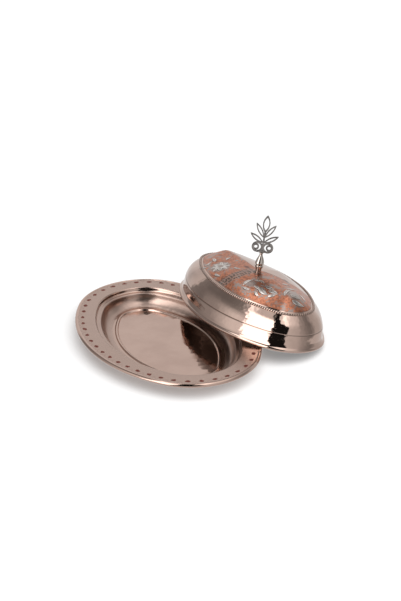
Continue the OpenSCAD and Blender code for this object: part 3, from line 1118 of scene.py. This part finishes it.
@dataclass
class Lid:
    """The lid: rolled lip, hammered wall with a groove, roped shoulder and four-panel roof."""

    dish: Dish
    seat_gap: float = 2.0
    sheet: float = 0.9
    shoulder_h: float = 29.5
    shoulder_in: float = 14.5
    flare: float = 2.6
    flare_h: float = 5.5
    groove_h: float = 14.6
    groove_in: float = 3.6
    groove_depth: float = 0.3
    groove_half: float = 0.4
    band_lean: float = 2.7
    shoulder_drop: float = 7.4
    shoulder_bend_r: float = 20.0
    ridge_bend_r: float = 6.0
    foot_bend_r: float = 2.5
    groove_bend_r: float = 20.0
    roll_r: float = 1.65
    rope_r: float = 1.2
    rope_turns: int = 168
    roof_h: float = 12.5
    vault_r: float = 82.0
    vault_turn: float = 17.0
    crown_slope: float = 31.0
    crown_bend_r: float = 5.0
    crown_over: float = 0.8
    roof_blend: float = 1.2
    seat_r: float = 3.6
    panel_margin: float = 2.2
    panel_border: float = 1.0
    plain_from: float = 36.0
    plain_to: float = 176.0
    mark_cell: float = 4.0
    mark_depth: float = 0.1
    mark_seed: int = 23
    mark_from: Pair = (2.0, 4.5)
    mark_to: Pair = (1.0, -2.5)
    plain_groove: Pair = (0.8, 1.2)
    in_end: int = 62
    in_side: int = 80
    inner_rows: int = 16
    roll_points: int = 18
    step: float = 0.72
    groove_step: Pair = (1.0, 0.2)
    inside_step: float = 1.7
    inside_mark: float = 200.0
    rope_in_end: int = 262
    rope_in_side: int = 410
    rope_around: int = 12
    lay_depth: float = 0.2
    leaf_h: float = 0.28
    leaf_power: float = 0.8
    leaf_vein: Pair = (0.5, 0.2)
    leaf_along: int = 22
    leaf_around: int = 16
    lid_in: float = field(init=False)
    seat_z: float = field(init=False)
    lean: Lean = field(init=False)
    groove_at: float = field(init=False)
    shoulder_at: float = field(init=False)

    def __post_init__(self) -> None:
        """Works out where the lid sits in the dish's oval, and its lean."""
        self.lid_in = self.dish.rim_w + self.seat_gap
        self.seat_z = self.shoulder_h + self.roof_h
        self.lean = Lean(self.dish, self.lid_in, self.roll_r)

    def outer(self) -> Profile:
        """Returns the outer surface, from the lip up the wall and over the roof's border."""
        crown_h = self.seat_z + self.crown_over
        run = (crown_h - self.shoulder_h) / math.tan(math.radians(self.crown_slope))
        corners = [(self.roll_r - self.sheet / 2, 2 * self.roll_r - self.sheet / 2),
                   (self.flare, self.flare_h), (self.groove_in, self.groove_h),
                   (self.groove_in + self.band_lean, self.shoulder_h - self.shoulder_drop),
                   (self.shoulder_in, self.shoulder_h), (self.shoulder_in + run, crown_h),
                   (self.dish.oval.end_r - self.lid_in, crown_h)]
        radii = [self.foot_bend_r, self.groove_bend_r, self.shoulder_bend_r, self.ridge_bend_r,
                 self.crown_bend_r]
        return Profile.bent(corners, radii)

    def vault(self, x: np.ndarray, y: np.ndarray, depth: float = 0.0) -> np.ndarray:
        """Height of the two crossed vaults, whose crests lie along the lid's axes.

        Each vault is a lying cylinder: z = top - R + sqrt(R^2 - d^2), where d is the distance
        from its axis, which is turned a little to one side. The lower of the two counts.

        Args:
            x: Place along the lid.
            y: Place across the lid.
            depth: Depth below the roof's outside.

        Returns:
            The height above the lip.
        """
        c, s = math.cos(math.radians(self.vault_turn)), math.sin(math.radians(self.vault_turn))
        far = np.maximum(np.abs(x * s + y * c), np.abs(y * c - x * s))
        r = self.vault_r - depth
        return self.seat_z - self.vault_r + np.sqrt(np.maximum(r**2 - far**2, 0))

    def lowest(self, path: np.ndarray, vault: np.ndarray) -> np.ndarray:
        """Returns the lower of two heights, eased where they meet and never above either."""
        near = np.clip(1 - np.abs(path - vault) / self.roof_blend, 0, 1)
        return np.minimum(path, vault) - near**2 * self.roof_blend / 4

    def roof(self, x: np.ndarray, y: np.ndarray) -> np.ndarray:
        """Returns the roof's height above the lip at points inside the shoulder."""
        outer = self.outer().points
        on_roof = outer[:, 0] > self.shoulder_in
        inset = self.dish.oval.inset(x, y) - self.lid_in
        path = np.interp(inset, outer[on_roof, 0], outer[on_roof, 1])
        return self.lowest(path, self.vault(x, y))

    def copper_part(self, x: np.ndarray, y: np.ndarray) -> np.ndarray:
        """Share of copper on the roof, which ends short of the shoulder and of the far side.

        Args:
            x: Place along the lid.
            y: Place across the lid.

        Returns:
            1 on copper and 0 on tin, with 0.5 on the border.
        """
        inset = self.dish.oval.inset(x, y) - self.lid_in - self.shoulder_in
        middle = math.radians((self.plain_from + self.plain_to) / 2)
        spread = math.radians((self.plain_to - self.plain_from) / 2)
        ahead = x * math.cos(middle) + y * math.sin(middle)
        aside = np.abs(y * math.cos(middle) - x * math.sin(middle))
        plain = ahead * math.sin(spread) - aside * math.cos(spread)
        border = self.panel_border
        return smooth_step(-border, border, np.minimum(inset - self.panel_margin, -plain))

    def rows(self) -> tuple[np.ndarray, np.ndarray]:
        """Profile of the whole sheet, from the roof's outside down to the lip and up inside.

        Returns:
            Profile points, and for each the arc length from the lip, plus inside_mark on
            the inside.
        """
        roll_at = (self.roll_r, self.roll_r)
        outer = self.outer()
        inner = outer.offset(-self.sheet).outside(roll_at, self.roll_r)
        outer = outer.outside(roll_at, self.roll_r)
        self.groove_at = outer.along[np.argmax(outer.points[:, 1] >= self.groove_h)]
        self.shoulder_at = outer.place_of(self.shoulder_in)
        outside = stations(outer.along[-1], self.step, [(self.groove_at, *self.groove_step)])
        inside = stations(inner.along[-1], self.inside_step, [])
        above, beneath = outer.at(outside), inner.at(inside)
        above[:, 0] += self.groove_depth * bell(outside - self.groove_at, self.groove_half)
        roll = roll_arc(roll_at, self.roll_r, above[0], beneath[0], self.roll_points)
        points = np.concatenate([above[::-1], roll[1:-1], beneath])
        on_roll = np.full(len(roll) - 2, ON_ROLL)
        place = np.concatenate([outside[::-1], on_roll, self.inside_mark + inside])
        points[:, 0] += self.lid_in
        return points, place

    def build(self, finish: Finish) -> Piece:
        """Makes the lid's sheet.

        The profile goes round the oval, and each point of the roof is lowered to the vaults.
        The wall is pushed in by the hammer marks.

        Args:
            finish: What the lid is made of.

        Returns:
            The piece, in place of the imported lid.
        """
        columns = self.dish.oval.columns(self.lid_in, self.in_end, self.in_side)
        rows, place = self.rows()
        grid = swept(columns, rows, self.inner_rows, True, True)
        place = np.pad(place, self.inner_rows, "edge")[:, None]
        outside = place < LidTin.inside_from
        x, y, z = grid[..., 0], grid[..., 1], grid[..., 2]
        roof = np.where(outside, self.vault(x, y), self.vault(x, y, self.sheet))
        on_roof = outside & (place > self.shoulder_at)
        copper = np.where(on_roof, self.copper_part(x, y), 0.0)
        # Mask of the wall's groove, where the finish paints shade.
        groove = bell(place - self.groove_at, self.groove_half) + 0 * x
        grid[..., 2] = np.where(on_roof, self.lowest(z, roof), np.minimum(z, roof))
        seat = outside & (np.hypot(x, y) < self.seat_r) & (place > self.shoulder_at)
        grid[..., 2] = np.where(seat, self.seat_z, grid[..., 2])
        round_trip = columns.along[-1]
        along = columns.along[None, :-1]
        marks = hammer_marks(along, place, round_trip, self.mark_cell, self.mark_seed)
        low, high = (self.shoulder_at + beyond for beyond in self.mark_to)
        wall = smooth_step(*self.mark_from, place) * smooth_step(low, high, place)
        share, half = self.plain_groove
        wall = wall * (1 - share * bell(place - self.groove_at, half))
        dent = self.mark_depth * np.clip(MARK_EDGE - marks, 0, 1) * wall * outside
        normals = grid_normals(grid)
        out = np.sign(np.sum(normals[..., :2] * columns.normal[None], axis=2, keepdims=True))
        grid = grid - normals * out * dent[..., None]
        plan = np.concatenate([grid[..., :2], grid[:, :1, :2]], axis=1)
        maps = [pair_map("wall", columns.along, place[:, 0]), SurfaceMap("plan", plan)]
        attributes = {"copper": copper, "groove": groove, "roof": on_roof + 0 * x}
        piece = add_mesh("lid", self.lean.place(grid), maps, attributes)
        piece.data.materials.append(finish.build())
        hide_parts("lid_shell")
        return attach(piece, "lid")

    def build_rope(self, finish: Finish) -> Piece:
        """Makes the roped bead along the shoulder.

        Its section is a circle, and r = rope_r (1 - lay_depth g), where g rises to 1 in
        grooves that wind round the bead like the lay of a rope.

        Args:
            finish: What the bead is made of.

        Returns:
            The piece.
        """
        middle = self.lid_in + self.shoulder_in
        columns = self.dish.oval.columns(middle, self.rope_in_end, self.rope_in_side)
        around = np.linspace(0, FULL_TURN, self.rope_around, endpoint=False)[:, None]
        strand = columns.along / columns.along[-1] * self.rope_turns
        phase = strand[None, :-1] * FULL_TURN + around
        r = self.rope_r * (1 - self.lay_depth * (0.5 + 0.5 * np.cos(phase)) ** 2)
        inset = middle + r * np.cos(around)
        height = self.shoulder_h + r * np.sin(around)
        reach = columns.radius[None, :] - inset
        plan = columns.centre[None] + reach[..., None] * columns.normal[None]
        grid = np.concatenate([plan, height[..., None]], axis=2)
        rope_map = pair_map("rope", strand, np.linspace(0, 1, self.rope_around + 1))
        piece = add_mesh("lid_rope", self.lean.place(grid), [rope_map], close_rows=True)
        piece.data.materials.append(finish.build())
        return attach(piece, "lid")

    def build_relief(self, finish: Finish) -> Piece:
        """Makes the leaves on the roof's panels.

        A leaf's middle line starts at x, y and bends evenly by its curl. Its half width is
        w = width sin(pi u^leaf_power), and its section is a lens that is as wide as the leaf
        there, laid on the roof and pressed in along the vein.

        Args:
            finish: What the leaves are made of.

        Returns:
            The piece.
        """
        x, y, heading, length, width, curl = (column[:, None] for column in self.sprays().T)
        u = np.linspace(0, 1, self.leaf_along)[None, :]
        angle = np.radians(heading + curl * (u - 0.5))
        step = length / (u.shape[1] - 1)
        line_x = x + np.cumsum(np.cos(angle), axis=1) * step
        line_y = y + np.cumsum(np.sin(angle), axis=1) * step
        half = width * np.sin(math.pi * u**self.leaf_power)
        around = np.linspace(0, FULL_TURN, self.leaf_around, endpoint=False)
        across = half[..., None] * np.cos(around)
        plan_x = line_x[..., None] - np.sin(angle)[..., None] * across
        plan_y = line_y[..., None] + np.cos(angle)[..., None] * across
        vein = 1 - self.leaf_vein[0] * bell(np.cos(around), self.leaf_vein[1])
        rise = self.leaf_h * np.sin(around) * vein * (half / width)[..., None] ** 0.5
        grid = np.stack([plan_x, plan_y, self.roof(plan_x, plan_y) + rise], axis=-1)
        turns = np.linspace(0, 1, self.leaf_around + 1)
        leaf_u = np.broadcast_to(turns, grid.shape[:2] + turns.shape)
        leaf_v = np.broadcast_to(u[..., None], leaf_u.shape)
        leaf_map = SurfaceMap("leaf", np.stack([leaf_u, leaf_v], axis=-1))
        piece = add_mesh("lid_relief", self.lean.place(grid), [leaf_map])
        piece.data.materials.append(finish.build())
        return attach(piece, "lid")

    @staticmethod
    def sprays() -> np.ndarray:
        """Leaves of the flower and the sprays on the copper panels.

        Returns:
            For each leaf x, y, heading, length, half width and curl, in mm and degrees.
        """
        turn = np.arange(PETALS) * (360 / PETALS) + PETAL_TURN
        out = np.stack([np.cos(np.radians(turn)), np.sin(np.radians(turn))], axis=1)
        start = np.array(FLOWER_AT) + PETAL_FROM * out
        flower = np.column_stack([start, turn, np.full((PETALS, 3), PETAL)])
        return np.concatenate([flower, np.array(LEAVES, float)])


@dataclass
class Finial:
    """The finial: turned collar and stem, sawn ornament, and the washer and screw inside."""

    lid: Lid
    collar_h: float = 5.0
    collar_r: float = 4.0
    foot_r: float = 2.6
    waist_r: float = 3.0
    cup_share: float = 0.85
    stem_h: float = 11.5
    stem_r: float = 3.9
    neck_r: float = 1.3
    neck_rim: float = 0.5
    neck_rim_h: float = 0.9
    belly_low: float = 0.14
    belly_high: float = 0.86
    belly_power: float = 1.3
    columns: int = 96
    round_over: float = 0.35
    sharp: float = 40.0
    cup_edge: Pair = (0.02, 0.12)
    cup_slope: float = 0.05
    cup_in: float = 0.1
    chamfer: Pair = (0.12, 0.15)
    cup_points: int = 15
    belly_points: int = 30
    foot_points: int = 8

    def turned(self, name: str, profile: np.ndarray, base: float, node: str,
               finish: Finish) -> Piece:
        """Makes a turned piece: the profile's radius carried round the lid's middle.

        Args:
            name: Name of the piece.
            profile: Points as [radius, height], from the axis at the bottom to the axis at the top.
            base: Height of the piece's foot above the lip.
            node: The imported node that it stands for.
            finish: What it is made of.

        Returns:
            The piece.
        """
        angle = np.linspace(0, FULL_TURN, self.columns, endpoint=False)[None, :]
        r, z = profile[:, :1], profile[:, 1:] + base
        grid = np.stack(np.broadcast_arrays(r * np.cos(angle), r * np.sin(angle), z), axis=-1)
        u = np.linspace(0, 1, self.columns + 1)
        piece = add_mesh(name, self.lid.lean.place(grid), [pair_map("turned", u, profile[:, 1])])
        piece.data.materials.append(finish.build())
        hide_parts(node)
        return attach(piece, "lid")

    def build_collar(self, finish: Finish) -> Piece:
        """Returns the collar: r falls from foot to rim as a quarter cosine, then to the waist."""
        t = np.linspace(0, 1, self.cup_points)
        cup_h, top = self.cup_share * self.collar_h, self.collar_h
        cup = np.stack([self.collar_r + (self.foot_r - self.collar_r) * np.cos(t * math.pi / 2),
                        cup_h * t], axis=1)
        lip = np.array([[self.collar_r - self.cup_edge[0], cup_h + self.cup_edge[1]],
                        [self.waist_r + self.cup_slope, top - self.cup_slope],
                        [self.waist_r - self.cup_in, top], [0, top]])
        return self.turned("finial_cup", np.concatenate([[[0, 0]], cup, lip]), self.lid.seat_z,
                           "finial_collar", finish)

    def build_stem(self, finish: Finish) -> Piece:
        """Returns the stem: r = neck + (belly - neck) cos(90 t)^power, under a small rim."""
        t = np.linspace(0, 1, self.belly_points)
        bulge = (self.stem_r - self.neck_r) * np.cos(t * math.pi / 2) ** self.belly_power
        up = self.belly_low + (self.belly_high - self.belly_low) * t
        belly = np.stack([self.neck_r + bulge, self.stem_h * up], axis=1)
        rise = np.linspace(0, 1, self.foot_points)[:-1]
        foot = np.stack([self.waist_r + (self.stem_r - self.waist_r) * np.sin(rise * math.pi / 2),
                         self.stem_h * self.belly_low * rise], axis=1)
        rim_r, rim_low = self.neck_r + self.neck_rim, self.stem_h - self.neck_rim_h
        side, drop = self.chamfer
        rim = np.array([[rim_r - side, rim_low], [rim_r, rim_low + drop],
                        [rim_r, self.stem_h - drop], [rim_r - side, self.stem_h],
                        [0, self.stem_h]])
        return self.turned("finial_baluster", np.concatenate([[[0, 0]], foot, belly, rim]),
                           self.lid.seat_z + self.collar_h, "finial_stem", finish)

    def build_ornament(self, finish: Finish) -> Piece:
        """Makes the openwork ornament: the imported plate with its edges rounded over.

        Args:
            finish: What the ornament is made of.

        Returns:
            The piece.
        """
        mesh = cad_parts["finial_ornament"].data.copy()
        mesh.name = "finial_openwork"
        merged = bmesh.new()
        merged.from_mesh(mesh)
        bmesh.ops.remove_doubles(merged, verts=merged.verts, dist=UM)
        bmesh.ops.dissolve_limit(merged, angle_limit=math.radians(1), verts=merged.verts,
                                 edges=merged.edges)
        merged.to_mesh(mesh)
        merged.free()
        mesh.materials.clear()
        mesh.materials.append(finish.build())
        piece = linked("finial_openwork", mesh)
        bevel = piece.modifiers.new("round_over", "BEVEL")
        bevel.width, bevel.segments = self.round_over * MM, 3
        bevel.limit_method, bevel.angle_limit = "ANGLE", math.radians(self.sharp)
        mesh.shade_smooth()
        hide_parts("finial_ornament")
        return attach(piece, "lid")


# ---- Studio ----


@dataclass
class Studio:
    """Pale table, soft lights and the camera, in metres and degrees."""

    azimuth: float = 62.48
    elevation: float = 26.55
    roll: float = 0.57
    aim_px: Pair = (-33.59, -27.59)
    px_per_mm: float = 1.1593
    distance_px: float = 1700.0
    image_h: float = 601.0
    aim_z: float = 15.0
    sensor: float = 36.0
    clip: Pair = (0.01, 100.0)
    table_reach: float = 3.0
    table_glow: float = 1.12
    glow_share: float = 0.2
    fill: float = 0.42
    sweep: float = 0.86
    sweep_spread: Pair = (0.52, 0.32)
    key_toward: Triple = (0.85, 0.1, 1.7)
    key_strength: float = 3.2
    key_width: float = 68.0
    paper: float = 0.8
    room_noise: Triple = (5.0, 3.0, 0.6)
    room_ragged: float = 18.0
    room_tilt: float = 12.0
    room_turn: float = 6.0
    top: Pair = (0.5, 0.95)
    top_turn: float = 14.0
    upper: Pair = (0.45, 0.85)
    left: Pair = (-48.0, -62.0)
    left_loss: float = 0.6
    right: Band = ((8.0, 22.0), (85.0, 55.0))
    right_gain: float = 0.45
    edge: float = 1.5
    box_from: float = -65.5
    box_tilt: float = 13.0
    box_level: float = 3.2
    box_top: float = 0.9
    box_fade: Pair = (0.96, 0.9)
    dark_from: float = -39.5
    dark_to: float = 11.0
    dark_tilt: float = 22.0
    dark_narrows: float = 30.0
    dark_upper: Pair = (0.62, 0.97)
    dark: float = 0.012
    front_table: float = 0.75
    front_middle: float = 15.0
    front_half: Pair = (55.0, 40.0)
    front_below: Pair = (-0.13, -0.18)
    all_below: Pair = (-0.34, -0.39)
    room: tuple[Pair, ...] = (
        (-180, 0.55), (-162, 0.7), (-146, 0.8), (-141, 0.3), (-125, 0.28), (-112, 0.39),
        (-98, 0.48), (-85, 0.72), (-72, 1.08), (-40, 1.1), (-15, 1.2), (0, 1.7), (12, 1.2),
        (20, 0.85), (41, 0.78), (53, 0.73), (65, 0.54), (76, 0.45), (88, 0.34), (99, 0.27),
        (111, 0.42), (118, 0.62), (140, 0.64), (180, 0.85))

    def camera(self) -> Piece:
        """Makes the camera.

        It looks along the viewing direction at a point 15 mm above the table, so far away that
        a millimetre there is px_per_mm pixels of an image 601 pixels high.

        Returns:
            The scene's camera.
        """
        a, e, r = (math.radians(v) for v in (self.azimuth, self.elevation, self.roll))
        right = np.array([math.cos(a), math.sin(a), 0])
        toward = np.array([math.sin(a) * math.cos(e), -math.cos(a) * math.cos(e), math.sin(e)])
        up = np.cross(toward, right)
        aside = (self.aim_px[0] * right + self.aim_px[1] * up) / self.px_per_mm
        eye = np.array([0, 0, self.aim_z]) - aside + toward * self.distance_px / self.px_per_mm
        across = math.cos(r) * right - math.sin(r) * up
        above = math.sin(r) * right + math.cos(r) * up
        data = bpy.data.cameras.new("camera")
        data.sensor_width, data.lens = self.sensor, self.distance_px * self.sensor / self.image_h
        data.clip_start, data.clip_end = self.clip
        camera = linked("camera", data)
        camera.matrix_world = facing([across, above, toward], eye * MM)
        bpy.context.scene.camera = camera
        return camera

    def table(self) -> Piece:
        """Makes the table top, white to the camera but for the object's shadow.

        Returns:
            The table, which mirrors don't show: the world's front_table stands in for it there.
        """
        mesh = bpy.data.meshes.new("table_top")
        a = math.radians(self.azimuth - 90)
        ahead = np.array([math.cos(a), math.sin(a), 0])
        aside = np.array([-math.sin(a), math.cos(a), 0])
        corners = [(-1, -1), (1, -1), (1, 1), (-1, 1)]
        points = [(ahead * t + aside * r) * self.table_reach for t, r in corners]
        mesh.from_pydata(points, [], [(0, 1, 2, 3)])
        material = bpy.data.materials.new("table_paper")
        material.use_nodes = True
        wiring = Wiring(material.node_tree)
        paper = wiring.add("BsdfDiffuse", None, {"Color": (self.paper,) * 3})
        glow = wiring.add("Emission", None, {"Color": (1, 1, 1), "Strength": self.table_glow})
        seen = wiring.value("LightPath", output="Is Camera Ray")
        sockets = {0: seen * self.glow_share, 1: paper.outputs[0], 2: glow.outputs[0]}
        both = wiring.add("MixShader", None, sockets)
        wiring.add("OutputMaterial", None, {"Surface": both.outputs[0]})
        mesh.materials.append(material)
        table = linked("table_top", mesh)
        table.visible_glossy = False
        return table

    def world(self) -> None:
        """Makes the surroundings: a white sweep behind, and a room with a soft box in front.

        Curved walls show the room in upright strips if its edges are great circles through one
        direction, the one that a level surface shows to the photographer. So the compass here
        turns about that direction, in degrees from the photographer to the right, and spread
        is the distance from it, beyond which the room begins. All edges lean with the height z
        by their tilt. The room's shades are the stops of a ramp round the compass. Over them
        lie in turn the soft box, the black form, the table in front and below, and the sweep.
        """
        world = bpy.data.worlds.new("studio")
        bpy.context.scene.world = world
        world.use_nodes = True
        wiring = Wiring(world.node_tree)
        way = wiring.value("TexCoord", output="Generated")
        x, y, z = wiring.split(way)
        a = math.radians(self.azimuth - 90)
        toward = x * math.cos(a) + y * math.sin(a) + math.cos(math.radians(self.elevation))
        right = y * math.cos(a) - x * math.sin(a)
        ragged = (wiring.noise(*self.room_noise, way) - 0.5) * self.room_ragged
        compass = right.angle(toward) * 2.0 + ragged  # A turned mirror turns its view twice as far.
        turned = z.ramp(*self.top) * self.top_turn
        level = compass - z * self.room_tilt + self.room_turn - turned
        stops = [((at + 180) / 360, (shade,) * 3) for at, shade in self.room]
        room = wiring.value("ValToRGB", {"stops": stops}, {0: level / 360.0 + 0.5})
        upper = z.ramp(*self.upper)
        gain = upper * compass.within(self.right) * self.right_gain + 1.0
        gain = gain - upper * compass.ramp(*self.left) * self.left_loss
        room = wiring.value("VectorMath", {"operation": "SCALE"}, {0: room, "Scale": gain})
        dark_from = z * self.dark_tilt + self.dark_from
        narrowed = z.ramp(*self.dark_upper) * self.dark_narrows
        dark_to = z * self.dark_tilt + self.dark_to - narrowed
        box_from = z * self.box_tilt + self.box_from
        box = (compass - box_from).ramp(-self.edge, 0.0)
        box = box * (compass - dark_from).ramp(self.edge, 0.0)
        shine = z.ramp(*self.box_fade) * (self.box_level - self.box_top) + self.box_top
        room = wiring.mix(box, room, wiring.join(shine, shine, shine))
        off = (dark_from - compass).most(compass + ragged * 0.5 - dark_to)
        room = wiring.mix(off.ramp(self.edge, 0.0), room, (self.dark,) * 3)
        in_front = abs(compass + self.front_middle).ramp(*self.front_half)
        below = (z.ramp(*self.front_below) * in_front).most(z.ramp(*self.all_below))
        room = wiring.mix(below, room, (self.front_table,) * 3)
        spread = toward.hypot(right)
        room = wiring.mix(spread.ramp(*self.sweep_spread), room, (self.sweep,) * 3)
        glossy = wiring.value("LightPath", output="Is Glossy Ray")
        seen = wiring.value("LightPath", output="Is Camera Ray")
        seen = seen.most(wiring.value("LightPath", output="Is Transmission Ray"))
        light = wiring.mix(glossy, (self.fill,) * 3, room)
        light = wiring.mix(seen, light, (1, 1, 1))
        sky = wiring.add("Background", None, {"Color": light, "Strength": 1.0})
        wiring.add("OutputWorld", None, {"Surface": sky.outputs[0]})

    def key_light(self) -> Piece:
        """Adds a wide light that is the same all over the table, and that mirrors don't show.

        Its strength is in watts to the square metre, on a surface that faces it.

        Returns:
            The light.
        """
        data = bpy.data.lights.new("key", "SUN")
        data.energy, data.angle = self.key_strength, math.radians(self.key_width)
        light = linked("key", data)
        away = unit(np.array(self.key_toward))
        side = unit(np.cross([0.0, 0.0, 1.0], away))
        light.matrix_world = facing([side, np.cross(away, side), away], np.zeros(3))
        light.visible_glossy = False
        return light


def dress_node(name: str, finish: Finish) -> Piece:
    """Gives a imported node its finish.

    Args:
        name: Name of the node.
        finish: What it is made of.

    Returns:
        The node's object.
    """
    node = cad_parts[name]
    node.data.materials.clear()
    node.data.materials.append(finish.build())
    return node


def main() -> None:
    """Builds the dish, the lid, the finial and the studio."""
    logging.basicConfig(level=logging.INFO, format="%(name)s: %(message)s")
    bpy.context.scene.view_settings.view_transform = "Standard"
    dish = Dish()
    lid = Lid(dish)
    finial = Finial(lid)
    steel = Finish("finial_steel", colour=(0.62, 0.55, 0.5), stain=(0.5, 0.44, 0.4),
                   stain_scale=300.0, gloss=0.12, gloss_change=0.06)
    dark_steel = Finish("ornament_steel", colour=(0.42, 0.39, 0.37), stain=(0.3, 0.28, 0.27),
                        stain_scale=300.0, gloss=0.28, gloss_change=0.1)
    plated = Finish("plated_steel", colour=(0.62, 0.62, 0.62), stain=(0.5, 0.5, 0.5),
                    stain_scale=300.0, gloss=0.3, gloss_change=0.1)
    wire = Finish("drawn_copper", colour=(0.66, 0.32, 0.2), stain=(0.5, 0.22, 0.14),
                  stain_scale=200.0, gloss=0.3, gloss_change=0.1)
    pieces = [dish.build(DishTin()), lid.build(LidTin()), lid.build_rope(RopeTin()),
              lid.build_relief(ReliefTin()), finial.build_collar(steel),
              finial.build_stem(steel), finial.build_ornament(dark_steel)]
    for name in ("finial_washer", "finial_screw"):
        pieces.append(dress_node(name, plated))
    for name in ("dish_rim_wire", "lid_rim_wire"):
        pieces.append(dress_node(name, wire))
    for piece in pieces:
        LOG.info("%s: %d faces", piece.name, len(piece.data.polygons))
    studio = Studio()
    studio.camera()
    studio.table()
    studio.world()
    studio.key_light()


if __name__ == "__main__":
    main()
